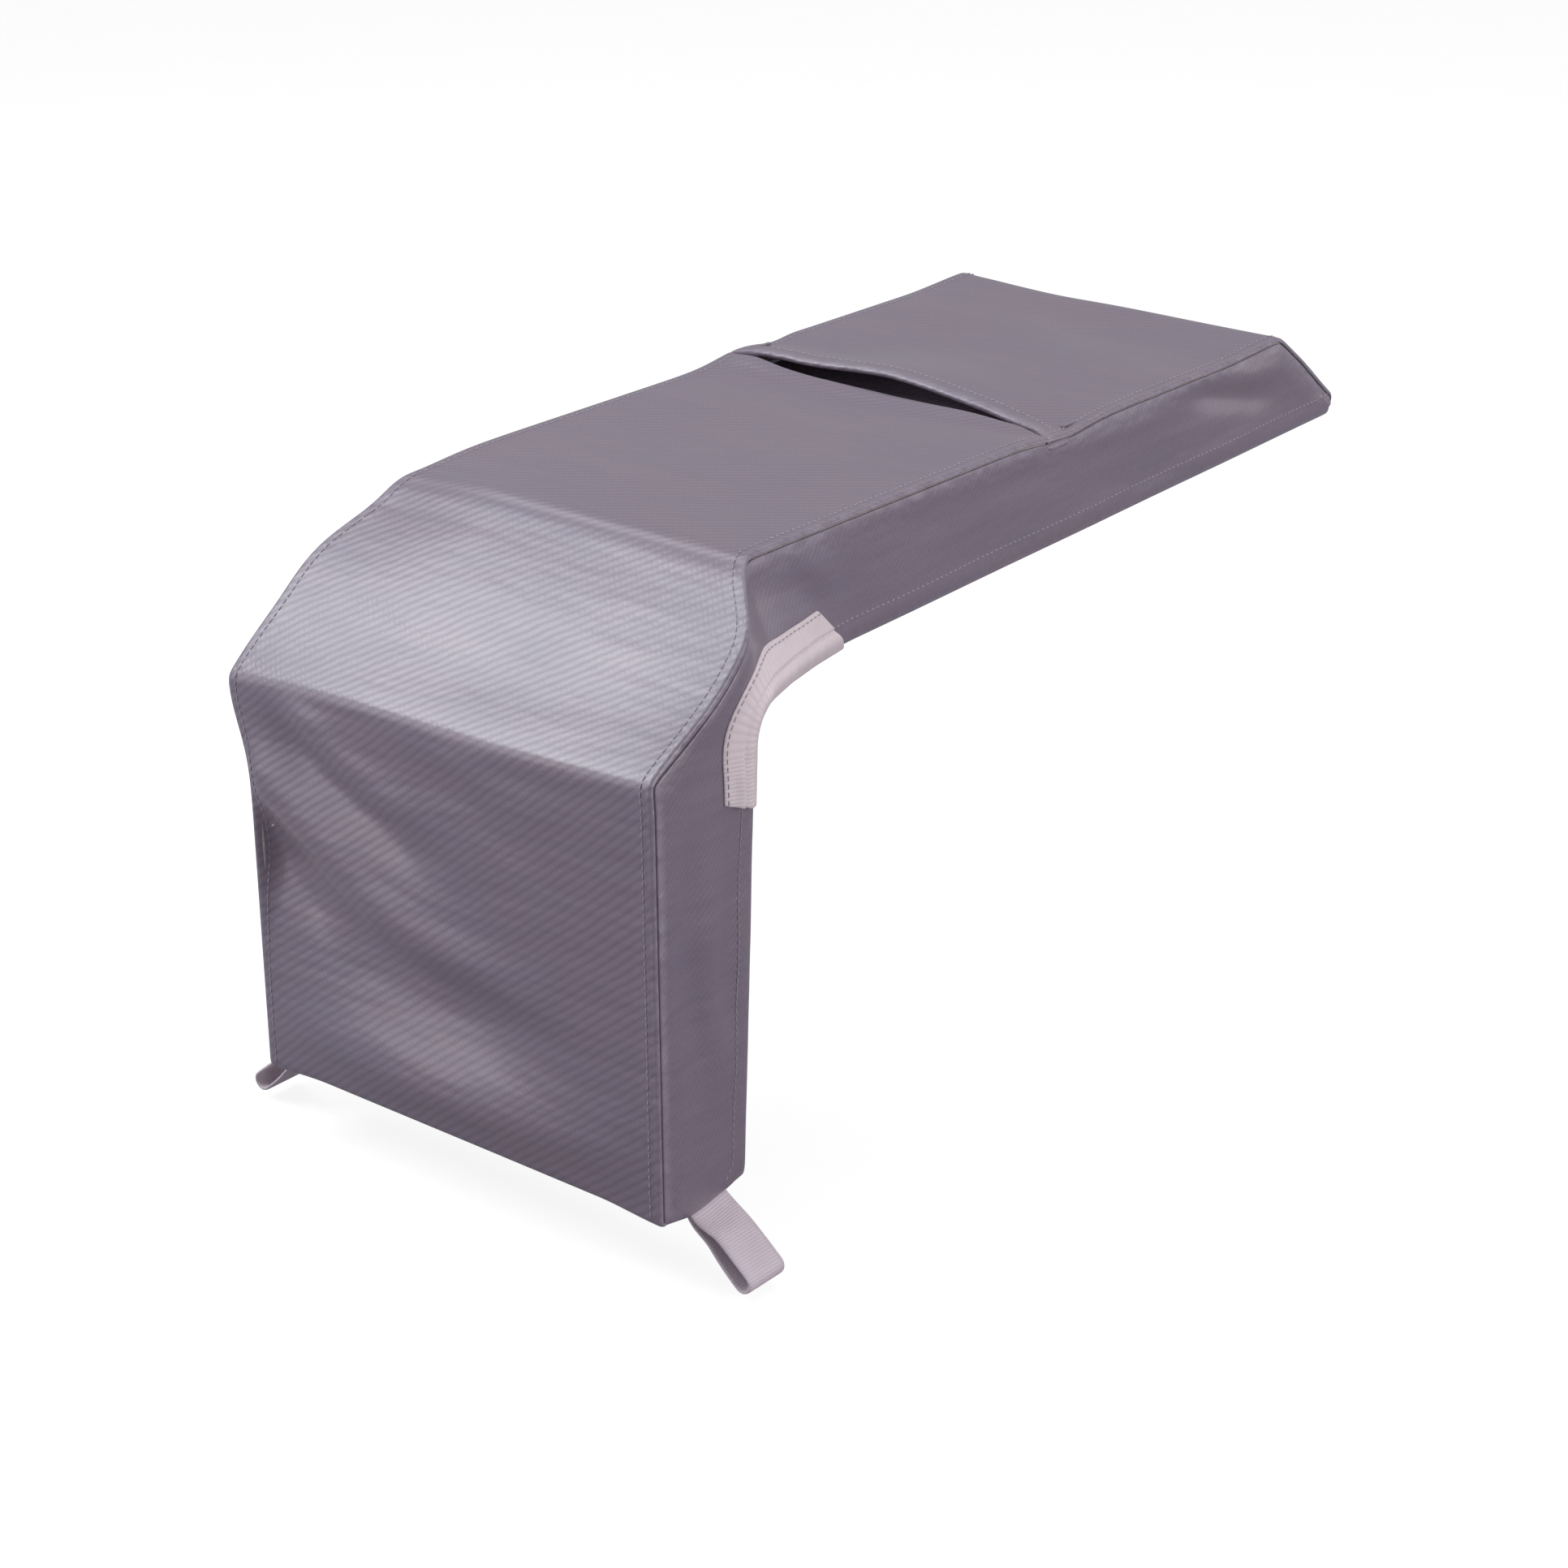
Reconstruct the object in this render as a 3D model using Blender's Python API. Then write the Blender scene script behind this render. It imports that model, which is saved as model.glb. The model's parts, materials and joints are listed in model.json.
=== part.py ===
"""Padded fire-resistant slip-over hood for a drone battery pack, an upside-down L of sewn cloth.

A front leg with a closed bottom, a sloped nose and a long arm that is open underneath. Three
layers make every wall: coated outer cloth, felt and liner. A lapped slot crosses the top, a
webbing tape guards each inner corner, and a webbing pull loop hangs at each side of the leg.

Shapes are drawn in hood coordinates: Y runs back from the front face, Z up from the bottom and
X across. The empty "hood_frame" then puts the origin on the liner's face under the top.
"""

import math
from typing import NamedTuple

import bmesh
import bpy
from mathutils import Matrix, Vector

# ---------------------------------------------------------------- driving dimensions (metres)
ARM_HALF_WIDTH = 0.083      # half the width across the arm
FRONT_FLARE = 0.018         # how much further out each side stands round the leg
NECK_FLARE = 0.004          # the same at the neck, where the leg narrows into the arm
FLARE_LENGTH = 0.050        # front face to where the sides start to come in
NECK_RUN = 0.025            # from there to the neck
TAPER_RUN = 0.025           # neck to where the sides become parallel
RIDGE_HEIGHT = 0.165        # bottom to the ridge between front and nose
NOSE_RISE = 0.063           # ridge to the top
NOSE_RUN = 0.070            # front face to the crease between nose and top
TOP_LENGTH = 0.424          # front face to the rear edge of the top
REAR_RUN = 0.049            # how far the sloped rear end reaches behind the top
REAR_DROP = 0.034           # how far the rear end falls
ARM_DEPTH = 0.047           # top to the arm's lower edge, at the inner corner
LEG_DEPTH = 0.053           # front face to the leg's open rear edge, at the bottom
LEG_FLARE = 0.013           # how much deeper the leg is at the inner corner
INNER_CORNER_RADIUS = 0.012

CLOTH_THICKNESS = 0.0012
FELT_THICKNESS = 0.0024
LINER_THICKNESS = 0.0008
SEAM_GAP = 0.0003           # kept between pieces that touch

SLOT_FROM_FRONT = 0.260     # front face to the crest where the front panel ends
SLOT_OPENING = 0.012        # crest to the rear panel's lip
SLOT_LAP = 0.030            # how far the underlap runs on under the rear panel
SLOT_DROP = 0.009           # depth of the underlap below the top
LIP_HEM = 0.012             # lip left as bare cloth, without felt and liner

TAPE_WIDTH = 0.020
TAPE_THICKNESS = 0.0010
TAPE_ARM_LENGTH = 0.044     # inner corner to the tape's end along the arm
TAPE_LEG_LENGTH = 0.038     # inner corner to the tape's end down the leg

WEBBING_WIDTH = 0.020
WEBBING_THICKNESS = 0.0012
LOOP_LENGTH = 0.035         # pivot to the far end of a pull loop
LOOP_END_RADIUS = 0.0042    # to the middle of the webbing
LOOP_SEWN_LENGTH = 0.007    # stretch where the two tails lie together
LOOP_FROM_FRONT = 0.0195    # front face to the near edge of a loop
LOOP_PIVOT_OUT = 0.0018     # pivot's distance out from the side wall at the loop's near edge
LOOP_HANG_DEG = 42.0        # how far below level a loop points at rest
TAIL_LENGTH = 0.014         # sewn tail inside, on the liner's bottom

BARTACK_LENGTH = 0.010
BARTACK_WIDTH = 0.0024
BARTACK_HEIGHT = 0.0007

MOUNT_FROM_FRONT = 0.160    # front face to the origin

# ---------------------------------------------------------------- values that follow from them
TOP_HEIGHT = RIDGE_HEIGHT + NOSE_RISE
WALL = CLOTH_THICKNESS + FELT_THICKNESS + LINER_THICKNESS + 2 * SEAM_GAP
LIP_FROM_FRONT = SLOT_FROM_FRONT + SLOT_OPENING
SEWN_THICKNESS = 2 * WEBBING_THICKNESS + SEAM_GAP
NECK = FLARE_LENGTH + NECK_RUN
TAPER_END = NECK + TAPER_RUN
WIDTH_BREAKS = (FLARE_LENGTH, NECK, TAPER_END)
CORNER_STEPS = 8
LOOP_END_STEPS = 12

SIDE_NAMES = {-1: "left", 1: "right"}


class Layer(NamedTuple):
    """One layer of the wall: its name, and its depths below the outer surface."""

    name: str
    outer: float
    inner: float


class Finish(NamedTuple):
    """Colour (linear), roughness and metallic value of a material."""

    colour: tuple
    roughness: float
    metallic: float


COATED_CLOTH = Finish((0.214, 0.178, 0.243), 0.42, 0.25)
FELT = Finish((0.62, 0.60, 0.56), 0.95, 0.0)
LINER_CLOTH = Finish((0.30, 0.29, 0.31), 0.70, 0.0)
TAPE = Finish((0.61, 0.55, 0.60), 0.80, 0.0)
WEBBING = Finish((0.47, 0.42, 0.49), 0.75, 0.0)
THREAD = Finish((0.40, 0.36, 0.43), 0.60, 0.0)


def wall_layers():
    """The three layers of the wall, from the outside in."""
    layers = []
    depth = 0.0
    for name, thickness in (
        ("outer", CLOTH_THICKNESS),
        ("felt", FELT_THICKNESS),
        ("liner", LINER_THICKNESS),
    ):
        layers.append(Layer(name, depth, depth + thickness))
        depth += thickness + SEAM_GAP
    return layers


OUTER, FELT_LAYER, LINER_LAYER = wall_layers()


# ---------------------------------------------------------------- outlines, as (y, z) points
def half_width(y):
    """Half the hood's outer width at a distance y from the front face."""
    if y <= FLARE_LENGTH:
        flare = FRONT_FLARE
    elif y <= NECK:
        flare = FRONT_FLARE + (NECK_FLARE - FRONT_FLARE) * (y - FLARE_LENGTH) / NECK_RUN
    elif y <= TAPER_END:
        flare = NECK_FLARE * (TAPER_END - y) / TAPER_RUN
    else:
        flare = 0.0
    return ARM_HALF_WIDTH + flare


def offset_path(points, distance):
    """Shift an open path to its right-hand side, mitred at its corners."""
    points = [Vector(point) for point in points]
    normals = []
    for start, end in zip(points, points[1:]):
        along = (end - start).normalized()
        normals.append(Vector((along.y, -along.x)))
    shifted = []
    for index, point in enumerate(points):
        before = normals[max(index - 1, 0)]
        after = normals[min(index, len(normals) - 1)]
        mitre = (before + after) / (1.0 + before.dot(after))
        shifted.append(point + mitre * distance)
    return [(point.x, point.y) for point in shifted]


def rounded_corner(before, corner, after, radius):
    """Points of the arc that rounds a corner between two straight edges."""
    before, corner, after = Vector(before), Vector(corner), Vector(after)
    to_before = (before - corner).normalized()
    to_after = (after - corner).normalized()
    half_angle = to_before.angle(to_after) / 2
    bisector = (to_before + to_after).normalized()
    centre = corner + bisector * (radius / math.sin(half_angle))
    first = corner + to_before * (radius / math.tan(half_angle)) - centre
    last = corner + to_after * (radius / math.tan(half_angle)) - centre
    sweep = first.angle_signed(last)
    points = []
    for step in range(CORNER_STEPS + 1):
        turned = Matrix.Rotation(-sweep * step / CORNER_STEPS, 2) @ first
        points.append((centre.x + turned.x, centre.y + turned.y))
    return points


def roof_path(depth):
    """The closed side of the hood from the leg's bottom round to the tip, at a wall depth."""
    path = [
        (LEG_DEPTH, 0.0),
        (0.0, 0.0),
        (0.0, RIDGE_HEIGHT),
        (NOSE_RUN, TOP_HEIGHT),
        (TOP_LENGTH, TOP_HEIGHT),
        (TOP_LENGTH + REAR_RUN, TOP_HEIGHT - REAR_DROP),
    ]
    return offset_path(path, depth)


def inner_corner():
    """The sharp corner where the leg's rear edge meets the arm's lower edge."""
    return (LEG_DEPTH + LEG_FLARE, TOP_HEIGHT - ARM_DEPTH)


def hem_path():
    """The open edge from the tip along the arm and down the leg."""
    tip = roof_path(WALL)[-1]
    foot = (LEG_DEPTH, 0.0)
    return [tip] + rounded_corner(tip, inner_corner(), foot, INNER_CORNER_RADIUS)


def side_outline(layer):
    """Outline of one side panel."""
    return roof_path(layer.outer) + hem_path()


def band_outline(path, layer):
    """Outline of a strip of cloth that follows a path of the outer surface."""
    return offset_path(path, layer.outer) + offset_path(path, layer.inner)[::-1]


def front_top_outline(layer):
    """Front, nose and top as far as the slot, cut upright at the slot's crest."""
    outer = roof_path(layer.outer)[1:4]
    inner = roof_path(layer.inner)[1:4]
    outer[0] = (layer.outer, layer.outer)
    inner[0] = (layer.inner, layer.outer)
    outer.append((SLOT_FROM_FRONT, TOP_HEIGHT - layer.outer))
    inner.append((SLOT_FROM_FRONT, TOP_HEIGHT - layer.inner))
    return outer + inner[::-1]


def rear_top_outline(layer):
    """Top behind the slot and the sloped rear end."""
    start = LIP_FROM_FRONT if layer is OUTER else LIP_FROM_FRONT + LIP_HEM
    path = [
        (start, TOP_HEIGHT),
        (TOP_LENGTH, TOP_HEIGHT),
        (TOP_LENGTH + REAR_RUN, TOP_HEIGHT - REAR_DROP),
    ]
    return band_outline(path, layer)


def bottom_outline(layer):
    """Bottom of the leg, from behind the front panel to the leg's rear edge."""
    start = layer.inner + SEAM_GAP
    return [
        (start, layer.outer),
        (start, layer.inner),
        (LEG_DEPTH, layer.inner),
        (LEG_DEPTH, layer.outer),
    ]


def underlap_outline():
    """Cloth that drops from the crest and runs on under the rear panel's lip."""
    crest = SLOT_FROM_FRONT + SEAM_GAP
    riser_back = crest + CLOTH_THICKNESS
    end = LIP_FROM_FRONT + SLOT_LAP
    upper = TOP_HEIGHT - SLOT_DROP
    lower = upper - CLOTH_THICKNESS
    return [
        (crest, TOP_HEIGHT),
        (riser_back, TOP_HEIGHT),
        (riser_back, upper),
        (end, upper),
        (end, lower),
        (crest, lower),
    ]


def tape_outline():
    """Webbing that follows the rounded inner corner, its edge on the hem."""
    corner = Vector(inner_corner())
    tip = Vector(roof_path(WALL)[-1])
    foot = Vector((LEG_DEPTH, 0.0))
    arm_end = corner + (tip - corner).normalized() * TAPE_ARM_LENGTH
    leg_end = corner + (foot - corner).normalized() * TAPE_LEG_LENGTH
    arc = rounded_corner(arm_end, corner, leg_end, INNER_CORNER_RADIUS)
    edge = [tuple(arm_end)] + arc + [tuple(leg_end)]
    return edge + offset_path(edge, TAPE_WIDTH)[::-1]


def loop_outline():
    """One pull loop seen from the front, pivot at the origin, pointing along the first axis."""
    tail_rise = (WEBBING_THICKNESS + SEAM_GAP) / 2
    tail_start = WEBBING_THICKNESS / 2
    centre = LOOP_LENGTH - LOOP_END_RADIUS - WEBBING_THICKNESS / 2
    path = [(tail_start, tail_rise), (LOOP_SEWN_LENGTH, tail_rise)]
    for step in range(LOOP_END_STEPS + 1):
        angle = math.pi / 2 - math.pi * step / LOOP_END_STEPS
        reach = LOOP_END_RADIUS * math.cos(angle)
        path.append((centre + reach, LOOP_END_RADIUS * math.sin(angle)))
    path += [(LOOP_SEWN_LENGTH, -tail_rise), (tail_start, -tail_rise)]
    half = WEBBING_THICKNESS / 2
    return offset_path(path, half) + offset_path(path, -half)[::-1]


# ---------------------------------------------------------------- making the objects
def make_material(name, finish):
    """A plain material with the finish's colour, roughness and metallic value."""
    material = bpy.data.materials.new(name)
    material.use_nodes = True
    shader = material.node_tree.nodes["Principled BSDF"]
    shader.inputs["Base Color"].default_value = (*finish.colour, 1.0)
    shader.inputs["Roughness"].default_value = finish.roughness
    shader.inputs["Metallic"].default_value = finish.metallic
    return material


def add_object(name, body, parent, finish):
    """Turn a bmesh into a named object with its faces pointing out."""
    bmesh.ops.recalc_face_normals(body, faces=body.faces)
    if body.calc_volume(signed=True) < 0:
        bmesh.ops.reverse_faces(body, faces=body.faces)
    mesh = bpy.data.meshes.new(name)
    body.to_mesh(mesh)
    body.free()
    mesh.materials.append(make_material(name + "_finish", finish))
    thing = bpy.data.objects.new(name, mesh)
    bpy.context.scene.collection.objects.link(thing)
    thing.parent = parent
    return thing


def add_empty(name, location, parent=None):
    """An empty that carries other objects."""
    empty = bpy.data.objects.new(name, None)
    empty.location = location
    empty.parent = parent
    bpy.context.scene.collection.objects.link(empty)
    return empty


def sweep(body, face, vector):
    """Extrude a lone face along a vector into a closed prism."""
    swept = bmesh.ops.extrude_face_region(body, geom=[face])["geom"]
    ends = [item for item in swept if isinstance(item, bmesh.types.BMVert)]
    bmesh.ops.translate(body, verts=ends, vec=vector)


def prism(outline):
    """A closed prism over a (y, z) outline, from x = 0 to x = 1."""
    body = bmesh.new()
    face = body.faces.new([body.verts.new((0.0, y, z)) for y, z in outline])
    sweep(body, face, (1.0, 0.0, 0.0))
    return body


def cut_across(body, position):
    """Add an edge loop where a plane across Y cuts the body."""
    everything = body.verts[:] + body.edges[:] + body.faces[:]
    bmesh.ops.bisect_plane(body, geom=everything, plane_co=(0, position, 0), plane_no=(0, 1, 0))


def add_panel(name, outline, near, far, parent, finish):
    """A panel over an outline whose two faces lie at x = near(y) and x = far(y)."""
    body = prism(outline)
    for position in WIDTH_BREAKS:
        cut_across(body, position)
    for vert in body.verts:
        reach = far if vert.co.x > 0.5 else near
        vert.co.x = reach(vert.co.y)
    return add_object(name, body, parent, finish)


def add_strip(name, outline, inset, parent, finish):
    """A strip that spans the hood between two insets from its outer sides."""

    def right(y):
        return half_width(y) - inset

    def left(y):
        return -right(y)

    return add_panel(name, outline, left, right, parent, finish)


def add_side(name, outline, side, depths, parent, finish):
    """A panel in a side wall, between two depths below the outer surface."""
    outer, inner = depths

    def near(y):
        return side * (half_width(y) - inner)

    def far(y):
        return side * (half_width(y) - outer)

    return add_panel(name, outline, near, far, parent, finish)


def add_block(name, low, high, parent, finish):
    """A small block between two corners."""
    body = bmesh.new()
    bmesh.ops.create_cube(body, size=1.0)
    low, high = Vector(low), Vector(high)
    bmesh.ops.scale(body, verts=body.verts, vec=high - low)
    bmesh.ops.translate(body, verts=body.verts, vec=(low + high) / 2)
    return add_object(name, body, parent, finish)


# ---------------------------------------------------------------- sub-assemblies
def add_wall_layer(layer, prefix, finish, parent):
    """The five panels of one layer: front and top, rear top, bottom and two sides."""
    inset = layer.inner + SEAM_GAP
    add_strip(prefix + "front_top_panel", front_top_outline(layer), inset, parent, finish)
    add_strip(prefix + "rear_top_panel", rear_top_outline(layer), inset, parent, finish)
    add_strip(prefix + "bottom_panel", bottom_outline(layer), inset, parent, finish)
    for side, word in SIDE_NAMES.items():
        depths = (layer.outer, layer.inner)
        name = f"{prefix}side_panel_{word}"
        add_side(name, side_outline(layer), side, depths, parent, finish)


def add_slot(parent):
    """The underlap below the lip and a bartack at each end of the slot."""
    add_strip("slot_underlap", underlap_outline(), WALL + SEAM_GAP, parent, COATED_CLOTH)
    for side, word in SIDE_NAMES.items():
        outer = ARM_HALF_WIDTH - OUTER.inner - SEAM_GAP - BARTACK_WIDTH
        across = sorted((side * outer, side * (outer - BARTACK_WIDTH)))
        low = (across[0], LIP_FROM_FRONT + SEAM_GAP, TOP_HEIGHT + SEAM_GAP)
        high = (across[1], low[1] + BARTACK_LENGTH, low[2] + BARTACK_HEIGHT)
        add_block("slot_bartack_" + word, low, high, parent, THREAD)


def add_corner_tapes(parent):
    """A webbing tape on each side's inner corner."""
    for side, word in SIDE_NAMES.items():
        depths = (-SEAM_GAP - TAPE_THICKNESS, -SEAM_GAP)
        add_side("corner_tape_" + word, tape_outline(), side, depths, parent, TAPE)


def loop_pivot(side):
    """Where a pull loop bends, just below the side's bottom edge, midway along its width."""
    across = half_width(LOOP_FROM_FRONT) + LOOP_PIVOT_OUT
    below = SEAM_GAP + SEWN_THICKNESS / 2
    return Vector((side * across, LOOP_FROM_FRONT + WEBBING_WIDTH / 2, -below))


def add_pull_loop(side, word, parent):
    """One pull loop on its pivot, hanging at its rest angle."""
    hinge = add_empty("loop_pivot_" + word, loop_pivot(side), parent)
    body = bmesh.new()
    outline = [(side * out, -WEBBING_WIDTH / 2, up) for out, up in loop_outline()]
    face = body.faces.new([body.verts.new(point) for point in outline])
    sweep(body, face, (0.0, WEBBING_WIDTH, 0.0))
    hang = Matrix.Rotation(side * math.radians(LOOP_HANG_DEG), 3, "Y")
    bmesh.ops.rotate(body, verts=body.verts, matrix=hang)
    add_object("pull_loop_" + word, body, hinge, WEBBING)


def add_loop_tail(side, word, parent):
    """The loop's sewn ends, flat on the liner's bottom, and the bartack that holds them."""
    back = LOOP_FROM_FRONT + WEBBING_WIDTH
    outer_end = half_width(back) - WALL - SEAM_GAP
    across = sorted((side * outer_end, side * (outer_end - TAIL_LENGTH)))
    bottom = WALL + SEAM_GAP
    top = bottom + SEWN_THICKNESS
    low = (across[0], LOOP_FROM_FRONT, bottom)
    high = (across[1], back, top)
    add_block("loop_tail_" + word, low, high, parent, WEBBING)

    middle = Vector((sum(across) / 2, LOOP_FROM_FRONT + WEBBING_WIDTH / 2, top + SEAM_GAP))
    reach = Vector((BARTACK_WIDTH / 2, BARTACK_LENGTH / 2, 0.0))
    high = middle + reach + Vector((0.0, 0.0, BARTACK_HEIGHT))
    add_block("loop_bartack_" + word, middle - reach, high, parent, THREAD)


def main():
    """Clear the scene and build the hood."""
    for thing in list(bpy.data.objects):
        bpy.data.objects.remove(thing)
    hood = add_empty("hood_frame", (0.0, -MOUNT_FROM_FRONT, WALL - TOP_HEIGHT))
    add_wall_layer(OUTER, "", COATED_CLOTH, hood)
    add_wall_layer(FELT_LAYER, "felt_", FELT, hood)
    add_wall_layer(LINER_LAYER, "liner_", LINER_CLOTH, hood)
    add_slot(hood)
    add_corner_tapes(hood)
    for side, word in SIDE_NAMES.items():
        add_pull_loop(side, word, hood)
        add_loop_tail(side, word, hood)


main()
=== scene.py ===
"""The looks of a padded slip-over cloth hood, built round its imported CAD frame.

The hood is shaped like an upside-down L: a deep leg with a sloped nose in front, and a
long arm with a lapped slot in its top. Its wall is ribbed outer cloth, felt and a liner.
Pale tape guards the two inner corners, and a webbing loop hangs from each side of the leg.
"""

from __future__ import annotations

import json
import logging
import math
from collections.abc import Sequence
from dataclasses import dataclass, field
from enum import Enum

import bmesh
import bpy
import numpy as np
from mathutils import Matrix, Vector


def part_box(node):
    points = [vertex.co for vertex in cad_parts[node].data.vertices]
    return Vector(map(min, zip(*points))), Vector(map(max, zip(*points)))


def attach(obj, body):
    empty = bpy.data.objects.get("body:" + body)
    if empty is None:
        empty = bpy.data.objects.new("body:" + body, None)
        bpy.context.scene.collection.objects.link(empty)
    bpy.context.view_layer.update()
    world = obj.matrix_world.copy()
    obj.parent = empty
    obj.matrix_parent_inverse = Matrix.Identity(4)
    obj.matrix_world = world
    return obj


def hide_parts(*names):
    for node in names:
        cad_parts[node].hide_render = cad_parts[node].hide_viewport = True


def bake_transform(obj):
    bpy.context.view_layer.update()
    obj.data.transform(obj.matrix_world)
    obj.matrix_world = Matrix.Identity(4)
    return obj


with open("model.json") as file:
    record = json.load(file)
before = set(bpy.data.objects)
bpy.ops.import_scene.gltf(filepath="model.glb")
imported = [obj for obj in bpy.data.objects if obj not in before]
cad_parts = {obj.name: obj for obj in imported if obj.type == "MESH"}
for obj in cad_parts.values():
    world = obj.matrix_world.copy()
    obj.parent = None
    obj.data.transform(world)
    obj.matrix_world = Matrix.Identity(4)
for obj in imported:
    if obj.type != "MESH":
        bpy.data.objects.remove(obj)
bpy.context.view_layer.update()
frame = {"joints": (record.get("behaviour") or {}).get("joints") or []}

LOG = logging.getLogger("hood")
MM = 0.001
HOOD_BODY = "hood"
STITCH_LIFT = 0.12 * MM
# A cut that fills less of its rectangle than this is logged as a strip of the same area.
LEAST_FILLED = 0.32

Array = np.ndarray
Material = bpy.types.Material
Node = bpy.types.Node
NodeTree = bpy.types.NodeTree
Piece = bpy.types.Object
Socket = bpy.types.NodeSocket
Colour = tuple[float, float, float, float]
Shell = tuple[Array, list[tuple[int, ...]], Array, Array]


class Side(Enum):
    """The two sides of the hood, seen from the front."""

    LEFT = -1
    RIGHT = 1

    @property
    def label(self) -> str:
        """The side's name as the CAD nodes spell it."""
        return self.name.lower()


class Ply(Enum):
    """The plies of the wall, each between two depths below the outer face."""

    SHELL = (0.0, 1.0 * MM)
    FELT = (1.3 * MM, 3.7 * MM)
    LINER = (4.0 * MM, 4.8 * MM)


def smooth_step(value: Array) -> Array:
    """0 below 0, 1 above 1, and a smooth rise between."""
    t = np.clip(value, 0.0, 1.0)
    return t * t * (3.0 - 2.0 * t)


def swell(distance: Array, width: float) -> Array:
    """A soft bell: 1 at no distance, and nearly 0 beyond two widths."""
    return np.exp(-((distance / width) ** 2))


def unit(vectors: Array) -> Array:
    """The same vectors at length 1."""
    length = np.linalg.norm(vectors, axis=-1, keepdims=True)
    return vectors / np.maximum(length, 1e-12)


def hem_turns(*backs: float) -> list[tuple[float, float]]:
    """The angles of the rows round a hem's fold, then how far back the flat rows inside lie."""
    round_fold = [(math.radians(angle), 0.0) for angle in (36, 72, 108, 144, 180)]
    return round_fold + [(math.pi, back) for back in backs]


def put(name: str, data: bpy.types.ID) -> Piece:
    """A new object in the scene."""
    thing = bpy.data.objects.new(name, data)
    bpy.context.scene.collection.objects.link(thing)
    return thing


def smooth_once(piece: Piece) -> None:
    """Smooths a piece with one level of subdivision."""
    modifier = piece.modifiers.new("soft", "SUBSURF")
    modifier.levels = modifier.render_levels = 1


def bake(piece: Piece) -> None:
    """Keeps the result of a piece's modifiers as its plain mesh."""
    bpy.context.view_layer.update()
    graph = bpy.context.evaluated_depsgraph_get()
    mesh = bpy.data.meshes.new_from_object(
        piece.evaluated_get(graph), preserve_all_data_layers=True, depsgraph=graph
    )
    piece.modifiers.clear()
    piece.data = mesh


class Outline:
    """A flat line with rounded corners, read by the distance along it."""

    def __init__(self, corners: Sequence[tuple[float, float]], radii: Sequence[float]) -> None:
        """Rounds the corners and measures the line.

        Args:
            corners: The ends and corners, as (y, z).
            radii: One radius for each inner corner.
        """
        step = 0.4 * MM
        places = [np.array(corner, float) for corner in corners]
        line = [places[0]]
        for before, corner, after, radius in zip(places, places[1:], places[2:], radii):
            line.extend(self.fillet(before, corner, after, radius))
        line.append(places[-1])
        rough = np.array(line)
        run = np.concatenate([[0.0], np.cumsum(np.linalg.norm(np.diff(rough, axis=0), axis=1))])
        self.length = float(run[-1])
        self.run = np.linspace(0.0, self.length, int(self.length / step) + 1)
        self.points = np.stack([np.interp(self.run, run, rough[:, i]) for i in (0, 1)], axis=1)
        self.tangents = unit(np.gradient(self.points, axis=0))
        gaps = [np.linalg.norm(self.points - corner, axis=1) for corner in places]
        self.corner_runs = [float(self.run[gap.argmin()]) for gap in gaps]

    @staticmethod
    def fillet(before: Array, corner: Array, after: Array, radius: float) -> list[Array]:
        """The points of the round at one corner.

        Args:
            before: The corner before it.
            corner: The corner to round.
            after: The corner after it.
            radius: The round's radius.

        Returns:
            The round's points, in order.
        """
        into, out = unit(corner - before), unit(after - corner)
        turn = math.atan2(into[0] * out[1] - into[1] * out[0], float(into @ out))
        start = corner - into * radius * math.tan(abs(turn) / 2)
        left = np.array([-into[1], into[0]])
        centre = start + left * radius * math.copysign(1.0, turn)
        spoke = start - centre
        points = []
        for angle in np.linspace(0.0, turn, 17):
            c, s = math.cos(angle), math.sin(angle)
            points.append(centre + np.array([c * spoke[0] - s * spoke[1], s * spoke[0] + c * spoke[1]]))
        return points

    def at(self, run: Array) -> Array:
        """The points at these distances along the line, as (y, z)."""
        return np.stack([np.interp(run, self.run, self.points[:, i]) for i in (0, 1)], axis=-1)

    def left(self, run: Array) -> Array:
        """The directions to the left of the line at these distances."""
        y, z = (np.interp(run, self.run, self.tangents[:, i]) for i in (0, 1))
        return unit(np.stack([-z, y], axis=-1))

    def distance(self, points: Array) -> Array:
        """How far each (y, z) point is from the line."""
        flat = points.reshape(-1, 2)
        sparse = self.points[::4]
        gaps = np.linalg.norm(flat[:, None, :] - sparse[None, :, :], axis=2)
        return gaps.min(axis=1).reshape(points.shape[:-1])


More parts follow.
